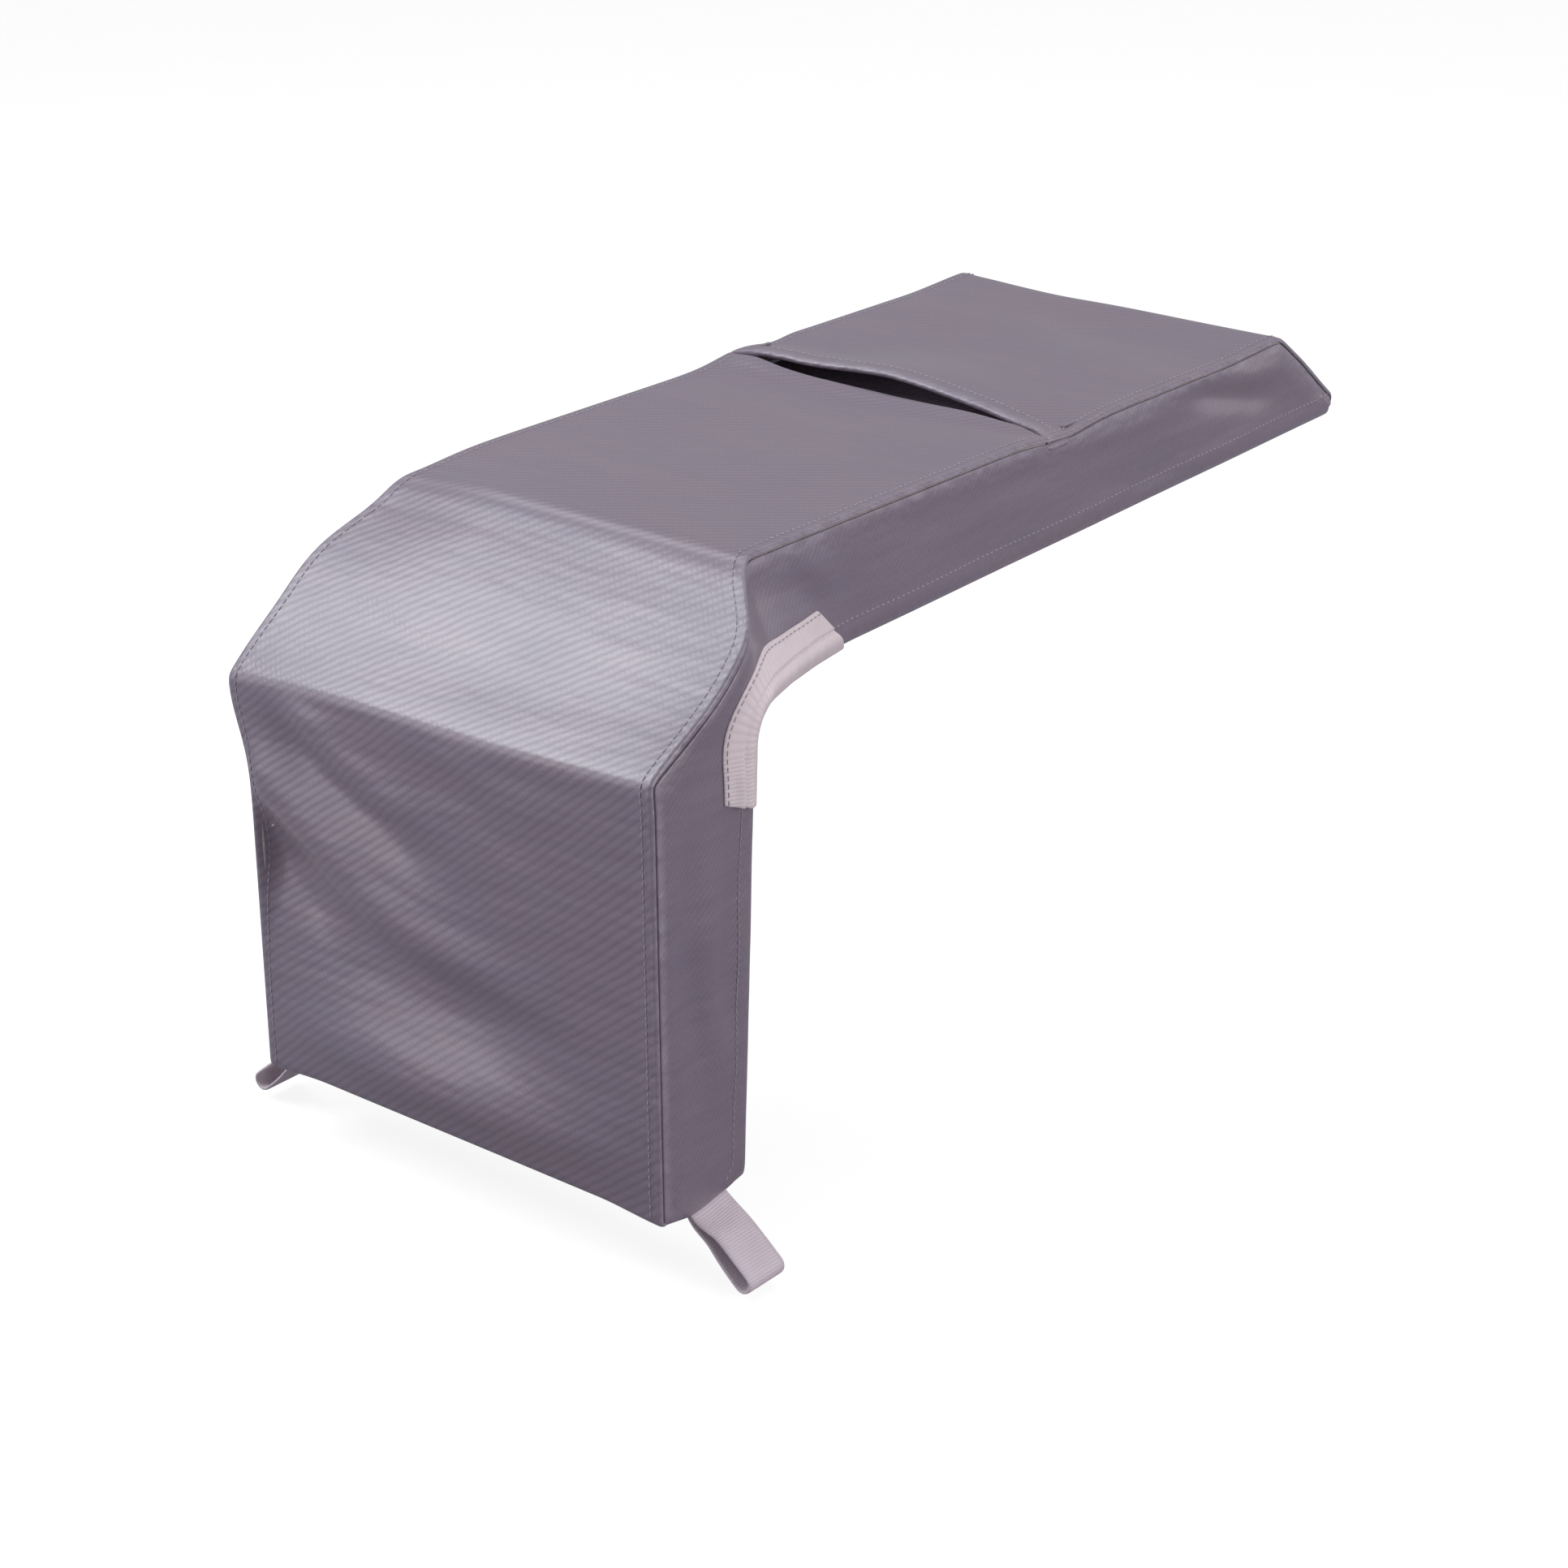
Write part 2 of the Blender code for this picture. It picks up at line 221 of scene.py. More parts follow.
@dataclass(frozen=True)
class Fold:
    """A soft crease that runs along a line on a panel, in the panel's own coordinates.

    Attributes:
        line: The points of its valley.
        depth: How deep the valley is.
        width: The valley's half-width.
        crest: The height of the swelling on its left.
        open_start: True where the fold starts at full depth, at a seam.
        spread: How many times wider the valley is on its right.
    """

    line: tuple[tuple[float, float], ...]
    depth: float
    width: float
    crest: float = 0.0
    open_start: bool = False
    spread: float = 1.0

    def relief(self, u: Array, v: Array) -> Array:
        """The height that the fold adds at each point of the panel.

        Args:
            u: The first panel coordinate.
            v: The second.

        Returns:
            Heights in metres, negative in the valley.
        """
        places = np.array(self.line, float)
        spans = np.diff(places, axis=0)
        lengths = np.linalg.norm(spans, axis=1)
        starts = np.concatenate([[0.0], np.cumsum(lengths)])
        here = np.stack([u, v], axis=-1)
        nearest = np.full(u.shape, np.inf)
        signed = np.zeros(u.shape)
        along = np.zeros(u.shape)
        for place, span, length, start in zip(places, spans, lengths, starts):
            offset = here - place
            share = np.clip((offset @ span) / length**2, 0.0, 1.0)
            gap = offset - share[..., None] * span
            size = np.linalg.norm(gap, axis=-1)
            turn = np.sign(span[0] * offset[..., 1] - span[1] * offset[..., 0])
            closer = size < nearest
            nearest = np.where(closer, size, nearest)
            signed = np.where(closer, size * turn, signed)
            along = np.where(closer, (start + share * length) / starts[-1], along)
        fade_in = 1.0 if self.open_start else smooth_step(along / 0.3)
        fade = fade_in * smooth_step((1.0 - along) / 0.35)
        valley = -self.depth * swell(np.where(signed < 0, signed / self.spread, signed), self.width)
        crest = self.crest * swell(signed - 1.9 * self.width, 1.2 * self.width)
        return (valley + crest) * fade


@dataclass(frozen=True)
class HoodSizes:
    """The hood's sizes in metres, with the front face at y 0 and the bottom at z 0.

    Attributes:
        origin: Where that corner is in the row frame.
        height: The bottom to the top.
        length: The front to the rear edge.
        leg_half_width: The middle to a side of the leg.
        slot_front: The front to the slot's crest.
        slot_lip: The front to the slot's lip.
    """

    origin: Vector
    height: float
    length: float
    leg_half_width: float
    slot_front: float
    slot_lip: float
    arm_half_width: float = 0.083
    ridge_height: float = 0.165
    nose_run: float = 0.070
    top_length: float = 0.426
    rear_drop: float = 0.034
    leg_depth: float = 0.048
    inner_corner: tuple[float, float] = (0.0575, 0.1765)
    tip_corner: tuple[float, float] = (0.470, 0.1855)
    wall: float = 5.0 * MM
    hem: float = 10.0 * MM
    roll: float = 1.4 * MM
    seam_tuck: float = 1.4 * MM
    lap: float = 0.030
    slot_drop: float = 9.0 * MM

    @classmethod
    def from_frame(cls) -> HoodSizes:
        """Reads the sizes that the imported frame's boxes give."""
        front_low, front_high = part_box("front_top_panel")
        rear_low, rear_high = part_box("rear_top_panel")
        bottom_low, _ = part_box("bottom_panel")
        _, side_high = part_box("side_panel_right")
        return cls(
            origin=Vector((0.0, front_low.y, bottom_low.z)),
            height=front_high.z - bottom_low.z,
            length=rear_high.y - front_low.y,
            leg_half_width=side_high.x,
            slot_front=front_high.y - front_low.y,
            slot_lip=rear_low.y - front_low.y,
        )


class HoodForm:
    """The hood's outer face: its outlines, its widths and how the soft cloth strays.

    Points on the front are (across from the middle, height), and on the sides they are
    (distance from the front, height).
    """

    front_folds = (
        Fold(
            ((-0.108, 0.111), (-0.090, 0.098), (-0.073, 0.087), (-0.058, 0.077), (-0.043, 0.069),
             (-0.021, 0.062), (0.002, 0.059), (0.031, 0.055), (0.066, 0.047)),
            6.6 * MM, 9.5 * MM, 3.4 * MM, open_start=True, spread=2.8,
        ),
        Fold(
            ((-0.099, 0.159), (-0.083, 0.148), (-0.068, 0.137), (-0.052, 0.128), (-0.037, 0.121),
             (-0.017, 0.114), (0.010, 0.109)),
            4.4 * MM, 6.5 * MM, 2.2 * MM, spread=1.5,
        ),
        Fold(
            ((-0.108, 0.098), (-0.085, 0.083), (-0.062, 0.060)),
            1.8 * MM, 7.0 * MM, 0.5 * MM, open_start=True,
        ),
        Fold(((-0.020, 0.150), (0.020, 0.138), (0.055, 0.118)), 1.2 * MM, 7.0 * MM, 0.8 * MM),
    )
    leg_folds = (
        Fold(((0.019, 0.150), (0.016, 0.105), (0.020, 0.060), (0.018, 0.030)), 2.0 * MM, 6.0 * MM, 1.6 * MM),
        Fold(((0.042, 0.128), (0.036, 0.085), (0.038, 0.050)), 1.6 * MM, 5.0 * MM, 1.0 * MM),
    )
    arm_folds = (
        Fold(((0.345, 0.224), (0.372, 0.217), (0.404, 0.208), (0.437, 0.203)), 2.4 * MM, 5.0 * MM, 0.8 * MM),
        Fold(((0.092, 0.218), (0.104, 0.204), (0.120, 0.195)), 1.2 * MM, 6.0 * MM, 0.6 * MM),
        Fold(((0.150, 0.213), (0.205, 0.216), (0.270, 0.214)), 0.9 * MM, 6.0 * MM),
    )

    def __init__(self, sizes: HoodSizes) -> None:
        """Lays out the roof and hem lines.

        Args:
            sizes: The hood's sizes.
        """
        self.sizes = sizes
        roof = [
            (6 * MM, 0.0),
            (0.0, 0.0),
            (0.0, sizes.ridge_height),
            (sizes.nose_run, sizes.height),
            (sizes.top_length, sizes.height),
            (sizes.length, sizes.height - sizes.rear_drop),
        ]
        self.roof = Outline(roof, [2 * MM, 6 * MM, 15 * MM, 6 * MM])
        hem = [
            (sizes.leg_depth - 5 * MM, 0.0),
            (sizes.leg_depth, 0.0),
            sizes.inner_corner,
            sizes.tip_corner,
        ]
        self.hem = Outline(hem, [4.5 * MM, 12 * MM])
        # Height 0 on the front, as a distance along the roof line, found above the rounded edge.
        height = 0.05
        self.front_start = float(np.interp(height, self.roof.points[:200, 1], self.roof.run[:200]) - height)
        self.ridge_run, self.crease_run, self.rear_run = self.roof.corner_runs[2:5]
        self.slot_run = self.crease_run + sizes.slot_front - sizes.nose_run

    def half_width(self, y: Array, z: Array, side: int) -> Array:
        """The middle to the side's outer face.

        Args:
            y: Distances from the front.
            z: Heights.
            side: -1 for the left, 1 for the right.

        Returns:
            Half-widths in metres.
        """
        sizes = self.sizes
        flare = sizes.leg_half_width - sizes.arm_half_width
        # How far the width has gone from the leg's to the arm's, at the hem and at the roof.
        low = np.interp(
            y, (0.045, 0.055, 0.064, 0.075, 0.090, 0.108, 0.130), (0.0, 0.05, 0.18, 0.42, 0.66, 0.85, 1.0)
        )
        high = smooth_step((y - 0.046) / 0.030) if side > 0 else smooth_step((y - 0.022) / 0.056)
        taper = low + (high - low) * smooth_step((z - 0.184) / 0.036)
        width = sizes.arm_half_width + flare * (1.0 - taper)
        nose = np.interp(y, (0.0, sizes.nose_run), (sizes.ridge_height, sizes.height))
        near = smooth_step(1.0 - (nose - z) / 0.026) * smooth_step((z - 0.150) / 0.020)
        if side > 0:
            return width - 1.2 * MM * swell(y, 0.010) * near + 4.0 * MM * swell(y - 0.036, 0.022) * near
        corner = 8.0 * MM * swell(z - 0.161, 0.023) * smooth_step((0.040 - y) / 0.034)
        return width + corner + 2.2 * MM * swell(y - 0.040, 0.030) * near

    def width_towards(self, side: Array, points: Array) -> Array:
        """Half-widths at (y, z) points, on the left where side is below 0 and else on the right."""
        y, z = points[..., 0], points[..., 1]
        return np.where(side < 0, self.half_width(y, z, -1), self.half_width(y, z, 1))

    def seam_down(self, run: Array) -> Array:
        """How far below the roll the roof seam lies, which is more on the nose."""
        up = smooth_step((run - self.ridge_run) / 0.020)
        down = smooth_step((self.crease_run + 0.004 - run) / 0.016)
        return 0.2 * MM + 0.7 * MM * up * down

    def crest_line(self, x: Array) -> Array:
        """The front of the slot: distances from the front, across the arm."""
        places = np.array((-83, -53, -29, -10, 12, 35, 60, 83)) * MM
        shape = np.array((0.5, -1.5, 0.5, 2.5, 1.5, -1.0, -3.5, -5.0)) * MM
        return self.sizes.slot_front + np.interp(x, places, shape)

    def lip_line(self, x: Array) -> Array:
        """The rear of the slot: distances from the front, across the arm."""
        places = np.array((-83, -79, -72, -60, -42, -20, 0, 22, 42, 58, 70, 77, 83)) * MM
        gap = np.array((2.0, 6.0, 10.0, 12.5, 13.5, 14.0, 14.0, 13.5, 12.5, 11.0, 8.5, 5.5, 2.0)) * MM
        return self.crest_line(x) + np.interp(x, places, gap)

    def slot_open(self, x: Array) -> Array:
        """How open the slot is across the arm, from 0 at its tacks to 1."""
        return smooth_step((self.lip_line(x) - self.crest_line(x) - 1 * MM) / (14 * MM))

    def roof_relief(self, x: Array, run: Array) -> Array:
        """How far the roof strip's cloth stands off its plain outline.

        Args:
            x: Distances across, from the middle.
            run: Distances along the strip.

        Returns:
            Heights in metres, outwards.
        """
        height = run - self.front_start
        across = np.clip(1.0 - (x / 0.101) ** 2, 0.0, 1.0)
        folds = sum(fold.relief(x, height) for fold in self.front_folds)
        relief = folds * smooth_step((self.ridge_run - run) / 0.012)
        # The belly low on the front.
        lower = smooth_step(height / 0.02) * smooth_step((0.15 - height) / 0.05)
        relief = relief + 5.0 * MM * swell(height - 0.018, 0.020) * across * lower
        # The nose swells near the crease and sinks near the ridge.
        past = run - (self.ridge_run + self.crease_run) / 2
        nose = 1.0 * MM * swell(past - 0.012, 0.020) - 0.9 * MM * swell(past + 0.020, 0.014)
        relief = relief + across * nose
        # Before the slot: a hollow, the bead of its crest, and a broad dent.
        ahead = run - self.slot_run
        hollow = swell(ahead + 0.024, 0.018) * swell(x - 0.004, 0.045)
        relief = relief - 2.0 * MM * hollow
        relief = relief + 2.4 * MM * swell(ahead + 0.002, 0.0065) * smooth_step((0.082 - np.abs(x)) / 0.016)
        relief = relief - 0.8 * MM * swell(ahead + 0.075, 0.030) * swell(x - 0.020, 0.050)
        # Slight waves along the arm, and broader ones behind the slot.
        waves = np.sin(run * 71.0 + x * 23.0) + np.sin(run * 39.0 - x * 48.0 + 1.7)
        relief = relief + 0.30 * MM * waves * across * smooth_step((run - self.crease_run) / 0.05)
        rear = smooth_step((run - self.slot_run - 0.02) / 0.03)
        return relief + 0.4 * MM * np.sin(run * 92.0 + x * 31.0 + 0.5) * across * rear

    def side_relief(self, y: Array, z: Array) -> Array:
        """How far a side panel's cloth stands off its plain face, outwards in metres."""
        leg = smooth_step((0.165 - z) / 0.03)
        relief = sum(fold.relief(y, z) for fold in self.leg_folds) * leg
        relief = relief + sum(fold.relief(y, z) for fold in self.arm_folds) * (1.0 - leg)
        waves = np.sin(y * 58.0 + z * 40.0) * np.sin(z * 90.0 + 0.4)
        return relief + 0.5 * MM * waves

    def warp(self, points: Array) -> Array:
        """Moves points as the slack cloth strays from the plain form.

        Args:
            points: Points in the hood's own frame.

        Returns:
            The moved points.
        """
        x, y, z = points[..., 0], points[..., 1], points[..., 2]
        share = x / self.sizes.leg_half_width
        # The ridge rises at its ends, and the crease drops on the left.
        ridge = swell(y, 0.034) * smooth_step((z - 0.085) / 0.075) * smooth_step((0.215 - z) / 0.05)
        lift = ridge * (1.6 * share + 2.4 * share**3) * MM * np.where(x < 0, swell(y, 0.022), 1.0)
        lift = lift - 3.0 * MM * swell(y - 0.070, 0.026) * smooth_step((-x - 0.030) / 0.060)
        # The slot's left end rides up and its right end sinks.
        slot = swell(y - 0.268, 0.020) * smooth_step((z - 0.200) / 0.020)
        lift = lift + 3.4 * MM * slot * smooth_step((-x - 0.035) / 0.045)
        lift = lift - 2.6 * MM * slot * smooth_step((x - 0.035) / 0.045)
        # The arm's rear end rises, most on the left.
        lift = lift + 1.8 * MM * smooth_step((y - 0.38) / 0.05) * smooth_step((z - 0.195) / 0.02)
        left_rear = 2.4 * MM * smooth_step((y - 0.285) / 0.02) * smooth_step((-x - 0.020) / 0.060)
        lift = lift + left_rear * smooth_step((z - 0.2) / 0.02)
        # The leg's lower corners sag.
        sag = swell(y - 0.016, 0.017) * smooth_step((np.abs(x) - 0.070) / 0.030)
        lift = lift - 3.6 * MM * sag * smooth_step((0.035 - z) / 0.035)
        return points + np.stack([np.zeros_like(x), np.zeros_like(x), lift], axis=-1)


@dataclass
class ClothGrid:
    """One ply's outer face as rows and columns of points, with its cloth coordinates.

    Attributes:
        points: Rows x columns x 3, in the hood's own frame.
        uv: Rows x columns x 2, metres along the cloth.
        edge: Rows x columns, metres to the nearest sewn or hemmed edge.
        flipped: True where the row and column order turns the face inwards.
    """

    points: Array
    uv: Array
    edge: Array
    flipped: bool = False

    def normals(self) -> Array:
        """The outward directions at the grid's points."""
        rows = np.gradient(self.points, axis=0)
        columns = np.gradient(self.points, axis=1)
        turned = np.cross(columns, rows)
        return unit(-turned if self.flipped else turned)

    def line(self, level: Array | float, measure: Array, rows: range, lift: float) -> Array:
        """A line over the face, where a measure has a given value in each row.

        Args:
            level: The value wanted, for each row or for all of them.
            measure: Rows x columns, rising along the columns.
            rows: The rows that the line crosses.
            lift: How far above the face it runs.

        Returns:
            The line's points.
        """
        face = self.points + self.normals() * lift
        levels = np.broadcast_to(level, len(measure))
        return np.array([
            [np.interp(levels[row], measure[row], face[row, :, axis]) for axis in range(3)]
            for row in rows
        ])

    def shell(self, near: float, far: float) -> Shell:
        """A closed ply between two depths below the face.

        Args:
            near: The depth of its outer face.
            far: The depth of its inner face.

        Returns:
            Points, faces, and the uv and edge distance of each point.
        """
        rows, columns = self.points.shape[:2]
        normals = self.normals()
        outer = (self.points - normals * near).reshape(-1, 3)
        inner = (self.points - normals * far).reshape(-1, 3)
        count = rows * columns
        index = np.arange(count).reshape(rows, columns)
        faces = []
        for row in range(rows - 1):
            for column in range(columns - 1):
                quad = (index[row, column], index[row, column + 1],
                        index[row + 1, column + 1], index[row + 1, column])
                faces.append(quad)
                faces.append(tuple(corner + count for corner in reversed(quad)))
        ring = [*index[0, :], *index[1:, -1], *index[-1, -2::-1], *index[-2:0:-1, 0]]
        for here, there in zip(ring, ring[1:] + ring[:1]):
            faces.append((there, here, here + count, there + count))
        if self.flipped:
            faces = [tuple(reversed(face)) for face in faces]
        uv = np.tile(self.uv.reshape(-1, 2), (2, 1))
        edge = np.tile(self.edge.reshape(-1), 2)
        return np.concatenate([outer, inner]), faces, uv, edge


class Workshop:
    """Turns points in the hood's own frame into finished Blender pieces."""

    def __init__(self, sizes: HoodSizes) -> None:
        """Keeps the shift from the hood's own frame to the row frame.

        Args:
            sizes: The hood's sizes.
        """
        self.shift = np.array(sizes.origin)

    def piece(
        self,
        name: str,
        points: Array,
        faces: Sequence[Sequence[int]],
        uv: Array,
        edge: Array,
        material: Material,
        subdivide: bool = True,
    ) -> Piece:
        """Makes a mesh piece with a uv map and an edge attribute.

        Args:
            name: The piece's name.
            points: Its points, in the hood's own frame.
            faces: Its faces.
            uv: Cloth coordinates of each point, in metres.
            edge: Each point's distance to the nearest sewn edge, in metres.
            material: Its finish.
            subdivide: True to smooth it with one level of subdivision.

        Returns:
            The new object.
        """
        mesh = bpy.data.meshes.new(name)
        mesh.from_pydata((points + self.shift).tolist(), [], [tuple(map(int, face)) for face in faces])
        mesh.update()
        corners = np.zeros(len(mesh.loops), np.int32)
        mesh.loops.foreach_get("vertex_index", corners)
        layer = mesh.uv_layers.new(name="cloth")
        layer.data.foreach_set("uv", uv[corners].astype(np.float32).ravel())
        attribute = mesh.attributes.new("edge_distance", "FLOAT", "POINT")
        attribute.data.foreach_set("value", (edge / MM).astype(np.float32))
        mesh.polygons.foreach_set("use_smooth", np.ones(len(mesh.polygons), bool))
        mesh.materials.append(material)
        piece = put(name, mesh)
        if subdivide:
            smooth_once(piece)
        return piece

    def ply(
        self, name: str, grid: ClothGrid, ply: Ply, material: Material, subdivide: bool = True
    ) -> Piece:
        """Makes one closed ply of a panel.

        Args:
            name: The piece's name.
            grid: The panel's outer face.
            ply: Which ply of the wall it is.
            material: Its finish.
            subdivide: True to smooth it.

        Returns:
            The new object.
        """
        points, faces, uv, edge = grid.shell(*ply.value)
        return self.piece(name, points, faces, uv, edge, material, subdivide)


class NodeBench:
    """Adds and links the nodes of one tree."""

    def __init__(self, tree: NodeTree) -> None:
        """Keeps the tree to work on."""
        self.tree = tree

    def add(self, kind: str, **settings: object) -> Node:
        """A new node of a kind, with its settings made."""
        node = self.tree.nodes.new(kind)
        for name, value in settings.items():
            setattr(node, name, value)
        return node

    def link(self, source: Socket, target: Socket) -> None:
        """Joins two sockets."""
        self.tree.links.new(source, target)

    def feed(self, target: Socket, value: object) -> None:
        """Gives an input a socket's output or a plain value."""
        if isinstance(value, Socket):
            self.link(value, target)
        else:
            target.default_value = value

    def maths(self, operation: str, *values: object, clamp: bool = False) -> Socket:
        """The result of a maths node on up to three values."""
        node = self.add("ShaderNodeMath", operation=operation, use_clamp=clamp)
        for target, value in zip(node.inputs, values):
            self.feed(target, value)
        return node.outputs[0]

    def dot(self, vector: object, direction: object) -> Socket:
        """The dot product of two vectors."""
        node = self.add("ShaderNodeVectorMath", operation="DOT_PRODUCT")
        self.feed(node.inputs[0], vector)
        self.feed(node.inputs[1], direction)
        return node.outputs["Value"]

    def noise(self, vector: object, scale: float, detail: float = 2.0) -> Socket:
        """A noise value over a vector, with features of 1/scale metres."""
        node = self.add("ShaderNodeTexNoise")
        self.feed(node.inputs["Vector"], vector)
        node.inputs["Scale"].default_value = scale
        node.inputs["Detail"].default_value = detail
        return node.outputs["Fac"]

    def spread(self, value: object, low: float, high: float, out_low: float, out_high: float) -> Socket:
        """A value carried from one range to another, clamped."""
        node = self.add("ShaderNodeMapRange")
        for target, given in zip(node.inputs, (value, low, high, out_low, out_high)):
            self.feed(target, given)
        return node.outputs[0]

    def mix(self, share: object, first: object, second: object) -> Socket:
        """A colour between two colours."""
        node = self.add("ShaderNodeMix", data_type="RGBA")
        self.feed(node.inputs["Factor"], share)
        self.feed(node.inputs[6], first)
        self.feed(node.inputs[7], second)
        return node.outputs[2]


def new_group(name: str, inputs: dict[str, str], outputs: dict[str, str]) -> tuple[NodeBench, dict, dict]:
    """An empty shader node group with named sockets.

    Args:
        name: The group's name.
        inputs: Socket types by input name.
        outputs: Socket types by output name.

    Returns:
        A bench on its tree, its input sockets and its output sockets, by name.
    """
    tree = bpy.data.node_groups.new(name, "ShaderNodeTree")
    for in_out, sockets in (("INPUT", inputs), ("OUTPUT", outputs)):
        for socket, kind in sockets.items():
            tree.interface.new_socket(socket, in_out=in_out, socket_type=kind)
    bench = NodeBench(tree)
    given = bench.add("NodeGroupInput")
    result = bench.add("NodeGroupOutput")
    return bench, given.outputs, result.inputs


VECTOR = "NodeSocketVector"
FLOAT = "NodeSocketFloat"


class Effects:
    """The effects that several finishes share, each built once as a node group."""

    def __init__(self) -> None:
        """Builds the groups."""
        self.ribs = self.build_ribs()
        self.weave = self.build_weave()
        self.handling = self.build_handling()
        self.pucker = self.build_pucker()

    @staticmethod
    def build_ribs() -> NodeTree:
        """Parallel ribs in one direction, with a fine thread across them."""
        bench, given, result = new_group(
            "Ribs",
            {
                "Position": VECTOR, "Direction": VECTOR, "Across": VECTOR,
                "Rib Pitch": FLOAT, "Thread Pitch": FLOAT, "Waver": FLOAT,
            },
            {"Height": FLOAT, "Groove": FLOAT},
        )
        stray = bench.maths("SUBTRACT", bench.noise(given["Position"], 55.0, 2.0), 0.5)
        along = bench.dot(given["Position"], given["Direction"])
        along = bench.maths("MULTIPLY_ADD", stray, given["Waver"], along)
        phase = bench.maths("MULTIPLY", bench.maths("DIVIDE", along, given["Rib Pitch"]), math.tau)
        wave = bench.maths("MULTIPLY_ADD", bench.maths("SINE", phase), 0.5, 0.5)
        rib = bench.maths("POWER", wave, 0.65)
        across = bench.maths("DIVIDE", bench.dot(given["Position"], given["Across"]), given["Thread Pitch"])
        turns = bench.maths("MULTIPLY", across, math.tau)
        thread = bench.maths("MULTIPLY_ADD", bench.maths("SINE", turns), 0.5, 0.5)
        height = bench.maths("MULTIPLY", rib, bench.maths("MULTIPLY_ADD", thread, 0.40, 0.60))
        bench.link(height, result["Height"])
        bench.link(bench.maths("SUBTRACT", 1.0, wave), result["Groove"])
        return bench.tree

    @staticmethod
    def build_weave() -> NodeTree:
        """A plain weave of two crossing threads."""
        bench, given, result = new_group(
            "Plain Weave", {"Position": VECTOR, "Thread Pitch": FLOAT}, {"Height": FLOAT, "Gap": FLOAT}
        )
        split = bench.add("ShaderNodeSeparateXYZ")
        bench.link(given["Position"], split.inputs[0])
        waves = []
        for axis in (0, 1):
            share = bench.maths("DIVIDE", split.outputs[axis], given["Thread Pitch"])
            waves.append(bench.maths("SINE", bench.maths("MULTIPLY", share, math.pi)))
        over = bench.maths("MULTIPLY", waves[0], waves[1])
        height = bench.maths("MULTIPLY_ADD", over, 0.5, 0.5)
        gap = bench.maths("POWER", bench.maths("SUBTRACT", 1.0, bench.maths("ABSOLUTE", over)), 3.0)
        bench.link(height, result["Height"])
        bench.link(gap, result["Gap"])
        return bench.tree

    @staticmethod
    def build_handling() -> NodeTree:
        """Broad tone, fine speckle and slight waves from use."""
        bench, given, result = new_group(
            "Handling",
            {"Position": VECTOR, "Streak": VECTOR},
            {"Tone": FLOAT, "Speckle": FLOAT, "Waves": FLOAT},
        )
        drawn = bench.add("ShaderNodeVectorMath", operation="MULTIPLY")
        bench.link(given["Position"], drawn.inputs[0])
        bench.link(given["Streak"], drawn.inputs[1])
        broad = bench.maths("MULTIPLY", bench.noise(given["Position"], 14.0, 3.0), 0.55)
        streaks = bench.maths("MULTIPLY", bench.noise(drawn.outputs[0], 60.0, 3.0), 0.45)
        tone = bench.maths("ADD", broad, streaks)
        bench.link(bench.spread(tone, 0.36, 0.64, 0.0, 1.0), result["Tone"])
        bench.link(bench.noise(given["Position"], 950.0, 1.0), result["Speckle"])
        bench.link(bench.noise(drawn.outputs[0], 48.0, 2.0), result["Waves"])
        return bench.tree

    @staticmethod
    def build_pucker() -> NodeTree:
        """Small puckers and wear beside sewn edges, from the edge distance in millimetres."""
        bench, given, result = new_group(
            "Seam Pucker", {"Position": VECTOR, "Edge Distance": FLOAT}, {"Height": FLOAT, "Wear": FLOAT}
        )
        near = bench.spread(given["Edge Distance"], 0.0, 11.0, 1.0, 0.0)
        gathers = bench.noise(given["Position"], 210.0, 1.0)
        bench.link(bench.maths("MULTIPLY", near, gathers), result["Height"])
        rubbed = bench.spread(given["Edge Distance"], 0.4, 3.2, 1.0, 0.0)
        patchy = bench.spread(bench.noise(given["Position"], 120.0, 3.0), 0.35, 0.65, 0.25, 1.0)
        bench.link(bench.maths("MULTIPLY", rubbed, patchy), result["Wear"])
        return bench.tree


